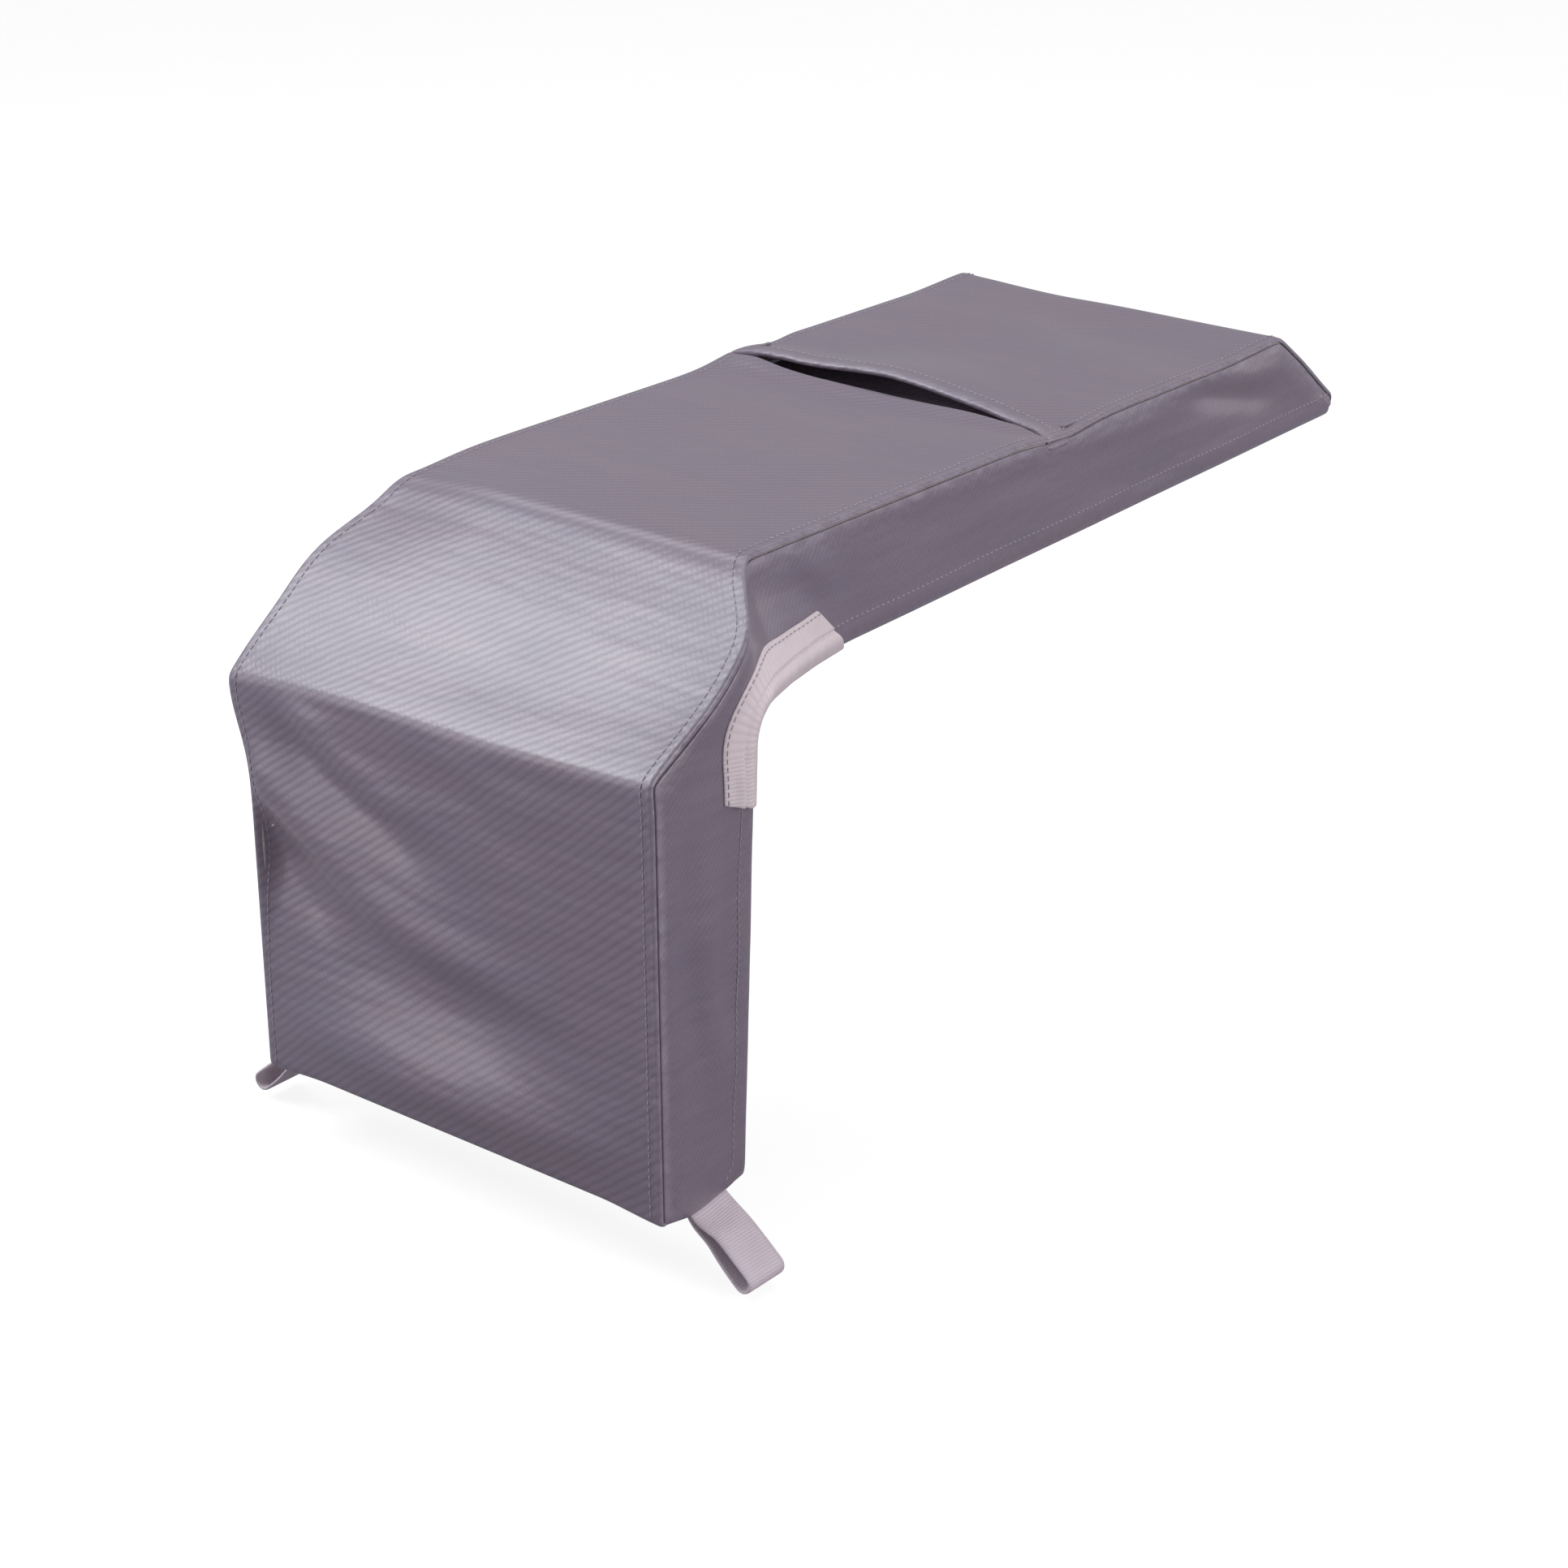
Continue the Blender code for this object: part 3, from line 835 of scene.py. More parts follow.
@dataclass(frozen=True)
class Finish:
    """What every finish has: a name and the values on its shader's own sockets."""

    name: str
    roughness: float = 0.6
    metallic: float = 0.0
    sheen: float = 0.0
    coat: float = 0.0
    coat_roughness: float = 0.3
    specular: float = 0.5

    def start(self) -> tuple[Material, NodeBench, Node]:
        """Makes the material with its Principled shader.

        Returns:
            The material, a bench on its tree, and the shader.
        """
        material = bpy.data.materials.new(self.name)
        material.use_nodes = True
        tree = material.node_tree
        tree.nodes.clear()
        bench = NodeBench(tree)
        shader = bench.add("ShaderNodeBsdfPrincipled")
        output = bench.add("ShaderNodeOutputMaterial")
        bench.link(shader.outputs[0], output.inputs["Surface"])
        shader.inputs["Roughness"].default_value = self.roughness
        shader.inputs["Metallic"].default_value = self.metallic
        shader.inputs["Sheen Weight"].default_value = self.sheen
        shader.inputs["Sheen Roughness"].default_value = 0.45
        shader.inputs["Coat Weight"].default_value = self.coat
        shader.inputs["Coat Roughness"].default_value = self.coat_roughness
        shader.inputs["Specular IOR Level"].default_value = self.specular
        return material, bench, shader

    @staticmethod
    def place_group(bench: NodeBench, group: NodeTree, **values: object) -> Node:
        """Adds a shared effect, with spaces in its input names written as underscores."""
        node = bench.add("ShaderNodeGroup", node_tree=group)
        for name, value in values.items():
            bench.feed(node.inputs[name.replace("_", " ")], value)
        return node

    @staticmethod
    def cloth_position(bench: NodeBench) -> Socket:
        """The cloth coordinates, from the piece's own uv map."""
        return bench.add("ShaderNodeUVMap", uv_map="cloth").outputs[0]

    @staticmethod
    def raise_surface(bench: NodeBench, shader: Node, heights: Sequence[tuple[object, float]]) -> None:
        """Chains bumps into the shader's normal.

        Args:
            bench: The material's bench.
            shader: Its shader.
            heights: Height sockets from 0 to 1, each with its depth in metres.
        """
        below = None
        for height, depth in heights:
            bump = bench.add("ShaderNodeBump")
            bump.inputs["Distance"].default_value = depth
            bench.link(height, bump.inputs["Height"])
            if below is not None:
                bench.link(below, bump.inputs["Normal"])
            below = bump.outputs[0]
        bench.link(below, shader.inputs["Normal"])


@dataclass(frozen=True)
class CoatedTwill(Finish):
    """Ribbed glass cloth with a silvery mauve coating."""

    effects: Effects | None = None
    rib_angle: float = 38.0
    rib_pitch: float = 3.3 * MM
    rib_share: float = 0.38
    rib_depth: float = 0.10 * MM
    # A dark colour: painted shade in the rib grooves, also used for darker flecks and edge marks.
    groove_colour: Colour = (0.130, 0.090, 0.128, 1.0)
    rib_colour: Colour = (0.238, 0.184, 0.240, 1.0)
    cool_colour: Colour = (0.206, 0.178, 0.240, 1.0)
    rubbed_colour: Colour = (0.380, 0.340, 0.410, 1.0)

    def build(self) -> Material:
        """Makes the material."""
        material, bench, shader = self.start()
        position = self.cloth_position(bench)
        angle = math.radians(self.rib_angle)
        ribs = self.place_group(
            bench, self.effects.ribs, Position=position, Direction=(-math.sin(angle), math.cos(angle), 0.0),
            Across=(math.cos(angle), math.sin(angle), 0.0), Rib_Pitch=self.rib_pitch, Thread_Pitch=2.1 * MM,
            Waver=1.8 * MM,
        )
        handling = self.place_group(bench, self.effects.handling, Position=position, Streak=(0.35, 1.6, 1.0))
        edge = bench.add("ShaderNodeAttribute", attribute_name="edge_distance").outputs["Fac"]
        pucker = self.place_group(bench, self.effects.pucker, Position=position, Edge_Distance=edge)
        groove = bench.spread(ribs.outputs["Groove"], 0.25, 0.95, 0.0, 1.0)
        cloth = bench.mix(handling.outputs["Tone"], self.rib_colour, self.cool_colour)
        # Painted shade: the grooves between the ribs are darkened towards the dark colour, so the rib crests
        # read lighter.
        cloth = bench.mix(bench.maths("MULTIPLY", groove, self.rib_share), cloth, self.groove_colour)
        speckle = bench.spread(handling.outputs["Speckle"], 0.35, 0.65, 0.0, 0.16)
        cloth = bench.mix(speckle, cloth, self.groove_colour)
        worn = bench.maths("MULTIPLY", pucker.outputs["Wear"], 0.55)
        bench.link(bench.mix(worn, cloth, self.rubbed_colour), shader.inputs["Base Color"])
        rough = bench.maths("MULTIPLY_ADD", handling.outputs["Tone"], 0.06, self.roughness)
        rough = bench.maths("MULTIPLY_ADD", groove, 0.07, rough)
        bench.link(rough, shader.inputs["Roughness"])
        self.raise_surface(bench, shader, (
            (handling.outputs["Waves"], 1.3 * MM),
            (pucker.outputs["Height"], 0.9 * MM),
            (ribs.outputs["Height"], self.rib_depth),
            (handling.outputs["Speckle"], 0.04 * MM),
        ))
        return material


@dataclass(frozen=True)
class NeedledFelt(Finish):
    """Matt pale felt with tangled fibres."""

    def build(self) -> Material:
        """Makes the material."""
        material, bench, shader = self.start()
        position = bench.add("ShaderNodeTexCoord").outputs["Object"]
        fibres = bench.noise(position, 800.0, 4.0)
        clouds = bench.noise(position, 60.0, 2.0)
        tone = bench.spread(bench.maths("ADD", fibres, clouds), 0.7, 1.3, 0.0, 1.0)
        colour = bench.mix(tone, (0.50, 0.48, 0.44, 1.0), (0.70, 0.68, 0.64, 1.0))
        bench.link(colour, shader.inputs["Base Color"])
        self.raise_surface(bench, shader, ((clouds, 0.8 * MM), (fibres, 0.3 * MM)))
        return material


@dataclass(frozen=True)
class LinerCloth(Finish):
    """Plain-weave grey glass cloth."""

    effects: Effects | None = None
    thread_pitch: float = 0.9 * MM

    def build(self) -> Material:
        """Makes the material."""
        material, bench, shader = self.start()
        position = self.cloth_position(bench)
        weave = self.place_group(bench, self.effects.weave, Position=position, Thread_Pitch=self.thread_pitch)
        handling = self.place_group(bench, self.effects.handling, Position=position, Streak=(1.0, 1.0, 1.0))
        colour = bench.mix(handling.outputs["Tone"], (0.25, 0.24, 0.26, 1.0), (0.36, 0.35, 0.37, 1.0))
        # Painted shade: the gaps between the woven threads are darkened.
        gaps = bench.maths("MULTIPLY", weave.outputs["Gap"], 0.6)
        bench.link(bench.mix(gaps, colour, (0.12, 0.11, 0.13, 1.0)), shader.inputs["Base Color"])
        self.raise_surface(bench, shader, (
            (handling.outputs["Waves"], 1.5 * MM),
            (weave.outputs["Height"], 0.15 * MM),
        ))
        return material


@dataclass(frozen=True)
class RibbedBand(Finish):
    """A narrow woven band with ribs across it, for tape and webbing."""

    effects: Effects | None = None
    colour: Colour = (0.6, 0.55, 0.6, 1.0)
    # A dark colour: painted shade in the rib grooves, and darker wear beside sewn edges.
    groove_colour: Colour = (0.4, 0.36, 0.4, 1.0)
    rib_pitch: float = 1.6 * MM
    depth: float = 0.16 * MM
    groove_share: float = 0.5

    def build(self) -> Material:
        """Makes the material."""
        material, bench, shader = self.start()
        position = self.cloth_position(bench)
        ribs = self.place_group(
            bench, self.effects.ribs, Position=position, Direction=(0.0, 1.0, 0.0), Across=(1.0, 0.0, 0.0),
            Rib_Pitch=self.rib_pitch, Thread_Pitch=0.8 * MM, Waver=0.5 * MM,
        )
        handling = self.place_group(bench, self.effects.handling, Position=position, Streak=(1.0, 1.0, 1.0))
        edge = bench.add("ShaderNodeAttribute", attribute_name="edge_distance").outputs["Fac"]
        pucker = self.place_group(bench, self.effects.pucker, Position=position, Edge_Distance=edge)
        dull = tuple(0.86 * part for part in self.colour[:3]) + (1.0,)
        colour = bench.mix(handling.outputs["Tone"], self.colour, dull)
        groove = bench.spread(ribs.outputs["Groove"], 0.4, 1.0, 0.0, 1.0)
        # Painted shade: the grooves between the ribs are darkened towards the dark colour.
        colour = bench.mix(bench.maths("MULTIPLY", groove, self.groove_share), colour, self.groove_colour)
        colour = bench.mix(bench.maths("MULTIPLY", pucker.outputs["Wear"], 0.35), colour, self.groove_colour)
        bench.link(colour, shader.inputs["Base Color"])
        self.raise_surface(bench, shader, (
            (handling.outputs["Waves"], 0.5 * MM),
            (ribs.outputs["Height"], self.depth),
            (handling.outputs["Speckle"], 0.05 * MM),
        ))
        return material


@dataclass(frozen=True)
class SewingThread(Finish):
    """Twisted thread, a little lighter than the cloth."""

    colour: Colour = (0.36, 0.32, 0.40, 1.0)

    def build(self) -> Material:
        """Makes the material."""
        material, bench, shader = self.start()
        position = bench.add("ShaderNodeTexCoord").outputs["Object"]
        strands = bench.noise(position, 2600.0, 2.0)
        dark = tuple(0.55 * part for part in self.colour[:3]) + (1.0,)
        bench.link(bench.mix(strands, dark, self.colour), shader.inputs["Base Color"])
        self.raise_surface(bench, shader, ((strands, 0.08 * MM),))
        return material


@dataclass
class Wardrobe:
    """Every finish of the hood, by the record's slot names."""

    shell_cloth: Material
    side_cloth: Material
    felt: Material
    liner_cloth: Material
    corner_tape: Material
    webbing: Material
    thread: Material
    tack: Material

    @classmethod
    def make(cls) -> Wardrobe:
        """Builds all the finishes."""
        effects = Effects()
        satin = {
            "roughness": 0.37, "metallic": 0.04, "sheen": 0.10,
            "coat": 0.65, "coat_roughness": 0.28, "specular": 0.8,
        }
        return cls(
            shell_cloth=CoatedTwill("shell_cloth", effects=effects, **satin).build(),
            side_cloth=CoatedTwill(
                "shell_cloth_side", effects=effects, rib_angle=47.0, rib_pitch=2.0 * MM,
                rib_share=0.20, rib_depth=0.08 * MM, **satin,
            ).build(),
            felt=NeedledFelt("felt", roughness=0.95).build(),
            liner_cloth=LinerCloth("liner_cloth", roughness=0.75, effects=effects).build(),
            corner_tape=RibbedBand(
                "corner_tape", roughness=0.8, sheen=0.25, effects=effects, colour=(0.90, 0.80, 0.82, 1.0),
                groove_colour=(0.62, 0.53, 0.56, 1.0), rib_pitch=1.5 * MM, groove_share=0.30,
            ).build(),
            webbing=RibbedBand(
                "webbing", roughness=0.72, sheen=0.2, effects=effects, colour=(0.78, 0.69, 0.75, 1.0),
                groove_colour=(0.46, 0.40, 0.45, 1.0), rib_pitch=1.2 * MM, depth=0.14 * MM, groove_share=0.30,
            ).build(),
            thread=SewingThread("thread", roughness=0.55, sheen=0.2, colour=(0.52, 0.48, 0.55, 1.0)).build(),
            tack=SewingThread(
                "thread_tack", roughness=0.6, sheen=0.2, colour=(0.30, 0.26, 0.31, 1.0)
            ).build(),
        )


@dataclass
class RoofPanels:
    """The front and rear pieces of the roof strip, and the lap under the slot."""

    form: HoodForm
    shop: Workshop
    finishes: Wardrobe
    spacing: float = 4.0 * MM
    stitch_lines: list[Array] = field(default_factory=list)

    def columns(self, count: int) -> tuple[Array, Array, Array, Array]:
        """The strip's cross-section: flat in the middle, rolled over and tucked in at both sides.

        Args:
            count: The number of flat columns.

        Returns:
            Flat share from -1 to 1, roll angle, tuck inwards and drop past the roll.
        """
        rolls = np.radians((30.0, 60.0, 90.0, 90.0, 90.0))
        tucks = np.array((0.0, 0.0, 0.0, 0.1, self.form.sizes.seam_tuck / MM)) * MM
        drops = np.array((0.0, 0.0, 0.0, 0.25, 0.45)) * MM
        shares = np.concatenate([np.linspace(-0.955, 0.955, count), (0.985, 1.0)])
        shares = np.concatenate([(-1.0, -0.985), shares])
        one, zero = np.ones(len(rolls)), np.zeros(len(shares))
        flat = np.concatenate([-one, shares, one])
        return (
            flat,
            np.concatenate([rolls[::-1], zero, rolls]),
            np.concatenate([tucks[::-1], zero, tucks]),
            np.concatenate([drops[::-1], zero, drops]),
        )

    def surface(
        self, run: Array, columns: tuple[Array, ...], lift: Array | float = 0.0
    ) -> tuple[Array, Array, Array]:
        """Points of the roof strip.

        Args:
            run: Rows x columns, distances along the strip.
            columns: The cross-section.
            lift: Extra height of each point.

        Returns:
            Points, cloth coordinates and distance to the side seam.
        """
        form, roll = self.form, self.form.sizes.roll
        flat, angle, tuck, down = columns
        side = np.where(flat < 0, -1.0, 1.0)
        at, left = form.roof.at(run), form.roof.left(run)
        rolled = angle > 0
        upright = angle > math.radians(80)
        drop = roll * (1 - np.cos(angle)) + down + np.where(upright, form.seam_down(run), 0.0)
        placed = at - left * drop[..., None]
        width = form.width_towards(flat, placed)
        x = flat * (width - roll) + side * (roll * np.sin(angle) - tuck)
        inside = smooth_step((width - roll - np.abs(x)) / (6 * MM))
        relief = (form.roof_relief(x, run) + lift) * inside * ~rolled
        placed = placed + left * relief[..., None]
        points = form.warp(np.stack([x, placed[..., 0], placed[..., 1]], axis=-1))
        u = flat * (width - roll) + side * (roll * angle + tuck + down)
        edge = np.abs(width + roll * 0.6 - np.abs(u))
        return points, np.stack([u, run], axis=-1), edge

    def run_to(self, edge: Array) -> Array:
        """Distances along the strip of one edge of the slot, given as distances from the front."""
        return self.form.slot_run + (edge - self.form.sizes.slot_front)

    def across(self, columns: tuple[Array, ...]) -> Array:
        """Each column's distance from the middle, on the arm."""
        return columns[0] * self.form.sizes.arm_half_width

    def front_grid(self) -> ClothGrid:
        """The front panel: from the leg's bottom over the nose to the slot's crest."""
        form = self.form
        columns = self.columns(45)
        x = self.across(columns)
        crest = self.run_to(form.crest_line(x))
        count = int(crest.mean() / self.spacing)
        share = np.linspace(0.0, 1.0, count)[:, None]
        straight = share * crest.mean()
        bend = smooth_step((straight - crest.mean() + 0.06) / 0.06)
        run = self.crowd(straight + (crest - crest.mean())[None, :] * bend)
        openness = form.slot_open(x)[None, :]
        near = swell(run - crest[None, :], 0.016)
        lift = -2.8 * MM * openness * near * swell(x, 0.055)[None, :]
        points, uv, edge = self.surface(run, columns, lift)
        rolled, rolled_uv = self.roll_under(points, uv, 3.2 * MM, openness[0])
        edge = np.concatenate([edge, np.repeat(edge[-1:], len(rolled), axis=0)])
        return ClothGrid(np.concatenate([points, rolled]), np.concatenate([uv, rolled_uv]), edge)

    def crowd(self, run: Array) -> Array:
        """Brings rows closer together round the ridge and the bottom edge, where the cloth turns sharply."""
        for centre in (self.form.ridge_run, self.form.roof.corner_runs[1]):
            gap = run - centre
            run = run - 0.45 * gap * np.exp(-((gap / 0.016) ** 2))
        return run

    def roll_under(self, points: Array, uv: Array, radius: float, openness: Array) -> tuple[Array, Array]:
        """Rows that carry the last row over a soft roll and down.

        Args:
            points: The rows so far.
            uv: Their cloth coordinates.
            radius: The roll's radius.
            openness: How much of the roll each column has.

        Returns:
            The new rows and their cloth coordinates.
        """
        rows, coordinates = [], []
        for angle, extra in ((25, 0), (50, 0), (75, 0), (90, 0), (90, 3.0 * MM)):
            turn = math.radians(angle)
            back = radius * math.sin(turn)
            down = radius * (1 - math.cos(turn)) + extra
            moved = points[-1].copy()
            moved[:, 1] += back * (0.35 + 0.65 * openness)
            moved[:, 2] -= down * (0.25 + 0.75 * openness)
            rows.append(moved)
            shifted = uv[-1].copy()
            shifted[:, 1] += radius * turn + extra
            coordinates.append(shifted)
        return np.array(rows), np.array(coordinates)

    def rear_grid(self) -> ClothGrid:
        """The rear panel: from the slot's lip to the hemmed rear edge."""
        form = self.form
        columns = self.columns(45)
        x = self.across(columns)
        lip = self.run_to(form.lip_line(x))
        end = form.roof.length - form.sizes.wall / 2
        count = int((end - lip.mean()) / self.spacing)
        share = np.linspace(0.0, 1.0, count)[:, None]
        straight = lip.mean() + share * (end - lip.mean())
        bend = smooth_step((lip.mean() + 0.06 - straight) / 0.06)
        run = straight + (lip - lip.mean())[None, :] * bend
        openness = form.slot_open(x)[None, :]
        arch = swell(x + 0.022, 0.050)[None, :]
        lift = 3.4 * MM * openness * arch * swell(run - lip[None, :], 0.024)
        points, uv, edge = self.surface(run, columns, lift)
        lip_edge, lip_uv = self.lip_roll(points, uv)
        hem, hem_uv = self.turn_hem(points, uv, run)
        points = np.concatenate([lip_edge, points, hem])
        uv = np.concatenate([lip_uv, uv, hem_uv])
        before = np.repeat(edge[:1], len(lip_edge), axis=0)
        after = np.repeat(edge[-1:], len(hem), axis=0)
        edge = np.concatenate([before, edge, after])
        gap = np.minimum(np.abs(uv[..., 1] - lip[None, :]), np.abs(form.roof.length - uv[..., 1]))
        return ClothGrid(points, uv, np.minimum(edge, gap))

    def lip_roll(self, points: Array, uv: Array) -> tuple[Array, Array]:
        """Rows that turn the lip's cloth under itself, in order from the turned-in end to the lip.

        Args:
            points: The panel's rows.
            uv: Their cloth coordinates.

        Returns:
            The new rows and their cloth coordinates.
        """
        radius = 1.5 * MM
        rows, coordinates = [], []
        for angle, extra in ((180, 12 * MM), (180, 6 * MM), (180, 0), (135, 0), (90, 0), (45, 0)):
            turn = math.radians(angle)
            moved = points[0].copy()
            moved[:, 1] += extra - radius * math.sin(turn)
            moved[:, 2] -= radius * (1 - math.cos(turn))
            rows.append(moved)
            shifted = uv[0].copy()
            shifted[:, 1] -= radius * turn + extra
            coordinates.append(shifted)
        return np.array(rows), np.array(coordinates)

    def turn_hem(self, points: Array, uv: Array, run: Array) -> tuple[Array, Array]:
        """Rows that carry the cloth round the open rear edge and back inside.

        Args:
            points: The panel's rows.
            uv: Their cloth coordinates.
            run: Their distances along the strip.

        Returns:
            The new rows and their cloth coordinates.
        """
        radius = self.form.sizes.wall / 2 - 0.1 * MM
        out = np.array([0.0, *self.form.roof.left(run[-1].mean())])
        on = np.array([0.0, out[2], -out[1]])
        rows, coordinates = [], []
        for turn, back in hem_turns(5 * MM, 10 * MM):
            moved = points[-1] + on * (radius * math.sin(turn) - back) - out * radius * (1 - math.cos(turn))
            rows.append(moved)
            coordinates.append(uv[-1] + np.array([0.0, radius * turn + back]))
        return np.array(rows), np.array(coordinates)

    def underlap_grid(self) -> ClothGrid:
        """The lap that runs from under the crest to below the rear panel."""
        form, sizes = self.form, self.form.sizes
        flat = np.linspace(-1.0, 1.0, 41)
        half = sizes.arm_half_width - sizes.wall - 0.3 * MM
        x = flat * half
        crest = form.crest_line(x) + 3.0 * MM
        share = np.linspace(0.0, 1.0, 14)[:, None]
        end = sizes.slot_lip + sizes.lap + 4 * MM
        y = crest[None, :] + share * (end - crest[None, :])
        openness = form.slot_open(x)[None, :]
        dip = smooth_step(share / 0.30) * smooth_step((1.0 - share) / 0.62)
        z = sizes.height - 5.4 * MM - (sizes.slot_drop - 3.4 * MM) * dip * openness
        z = z - 2.0 * MM * openness * swell(x, 0.055)[None, :] * smooth_step((1.0 - share) / 0.5)
        points = form.warp(np.stack([np.broadcast_to(x, y.shape), y, z], axis=-1))
        uv = np.stack([np.broadcast_to(x, y.shape), y + 0.2], axis=-1)
        edge = np.minimum(half - np.abs(uv[..., 0]), end - y)
        return ClothGrid(points, uv, edge)

    def inner_ply_grid(self, start: float, end: float, inset: float, count: int) -> ClothGrid:
        """The face that a felt or liner ply of the strip is measured from.

        Args:
            start: Its first distance along the strip.
            end: Its last.
            inset: How far it stays inside the sides.
            count: The number of columns.

        Returns:
            The grid, without the side rolls.
        """
        form, sizes = self.form, self.form.sizes
        rows = max(int((end - start) / (5 * MM)), 3)
        run = self.crowd(np.repeat(np.linspace(start, end, rows)[:, None], count, axis=1))
        flat = np.linspace(-1.0, 1.0, count)
        at, left = form.roof.at(run), form.roof.left(run)
        width = form.width_towards(flat, at - left * 2.5 * MM) - inset
        x = flat * width
        settle = -3.4 * MM * swell(run - form.slot_run, 0.020) * swell(x, 0.055)
        inside = smooth_step((width + inset - sizes.roll - np.abs(x)) / (6 * MM))
        relief = (form.roof_relief(x, run) + settle) * inside
        placed = at + left * relief[..., None]
        points = form.warp(np.stack([x, placed[..., 0], placed[..., 1]], axis=-1))
        return ClothGrid(points, np.stack([x, run], axis=-1), np.abs(width - np.abs(x)))

    def build(self) -> list[Piece]:
        """Makes the strip's pieces, dresses them and plans their stitching.

        Returns:
            The pieces.
        """
        form, shop, finishes = self.form, self.shop, self.finishes
        front, rear, lap = self.front_grid(), self.rear_grid(), self.underlap_grid()
        pieces = []
        for name, grid, node, below in (
            ("front_top_cloth", front, "front_top_panel", "felt_front_top_panel"),
            ("rear_top_cloth", rear, "rear_top_panel", "felt_rear_top_panel"),
            ("slot_lap_cloth", lap, "slot_underlap", "front_top_panel"),
        ):
            piece = dress(shop.ply(name, grid, Ply.SHELL, finishes.shell_cloth), "shell_cloth", node)
            pieces.append(declare_cloth(piece, grid, "stretched", below))
        columns = 31
        for name, start, end, felt_hem, liner_hem in (
            ("front_top", 2 * MM, form.slot_run - 8 * MM, 0.0, 0.0),
            ("rear_top", form.slot_run + 33 * MM, form.roof.length, 3.0 * MM, 13.0 * MM),
        ):
            felt = self.inner_ply_grid(start, end - felt_hem, 4.1 * MM, columns)
            piece = shop.ply(f"{name}_felt", felt, Ply.FELT, finishes.felt, subdivide=False)
            pieces.append(dress(piece, "felt", f"felt_{name}_panel"))
            liner = self.inner_ply_grid(start + 3 * MM, end - liner_hem, 5.1 * MM, columns)
            piece = shop.ply(f"{name}_liner", liner, Ply.LINER, finishes.liner_cloth, subdivide=False)
            dress(piece, "liner_cloth", f"liner_{name}_panel")
            pieces.append(declare_cloth(piece, liner, "stretched", f"felt_{name}_panel"))
        self.plan_stitches(front, rear)
        LOG.info("roof strip: %d pieces", len(pieces))
        return pieces

    def plan_stitches(self, front: ClothGrid, rear: ClothGrid) -> None:
        """Adds the topstitch lines beside the seams, behind the lip and before the rear edge.

        Args:
            front: The front panel's face.
            rear: The rear panel's face.
        """
        inset = 7.2 * MM
        for grid, rows in ((front, range(3, len(front.points) - 6)), (rear, range(7, len(rear.points) - 9))):
            reach = grid.uv[..., 0]
            for side, last in ((-1, 0), (1, -1)):
                beside = side * (np.abs(reach[:, last]) - inset)
                self.stitch_lines.append(grid.line(beside, reach, rows, STITCH_LIFT))
        along = rear.uv[..., 1].T
        turned = ClothGrid(rear.points.transpose(1, 0, 2), rear.uv.transpose(1, 0, 2), rear.edge.T, True)
        columns = range(8, rear.points.shape[1] - 8)
        behind_lip = rear.uv[6, :, 1] + 7 * MM
        before_edge = self.form.roof.length - self.form.sizes.hem
        for place in (behind_lip, before_edge):
            self.stitch_lines.append(turned.line(place, along, columns, STITCH_LIFT))


def dress(piece: Piece, slot: str, *nodes: str, body: str = HOOD_BODY) -> Piece:
    """Ties a finished piece to its body and to the CAD nodes it stands for.

    Args:
        piece: The finished piece.
        slot: Not used.
        nodes: The CAD nodes that it replaces.
        body: The CAD body that it rides on.

    Returns:
        The piece.
    """
    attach(piece, body)
    if nodes:
        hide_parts(*nodes)
    return piece


def declare_cloth(piece: Piece, grid: ClothGrid, held: str, *rests_on: str) -> Piece:
    """Works out the size that a finished ply was cut to, and logs it.

    A thin L fills too little of the rectangle around it, so its size is given as a strip of
    the same area and the same greatest length.

    Args:
        piece: The ply.
        grid: Its face, whose cloth coordinates are its flat cut.
        held: Not used.
        rests_on: Not used.

    Returns:
        The piece.
    """
    cut = grid.uv
    flat = tuple(float(size) for size in np.ptp(cut.reshape(-1, 2), axis=0))
    along, across = np.diff(cut, axis=0)[:, :-1], np.diff(cut, axis=1)[:-1]
    area = float(np.abs(along[..., 0] * across[..., 1] - along[..., 1] * across[..., 0]).sum())
    if area < LEAST_FILLED * flat[0] * flat[1]:
        flat = (area / max(flat), max(flat))
    LOG.info("%s: cut from %.0f x %.0f mm", piece.name, flat[0] / MM, flat[1] / MM)
    return piece


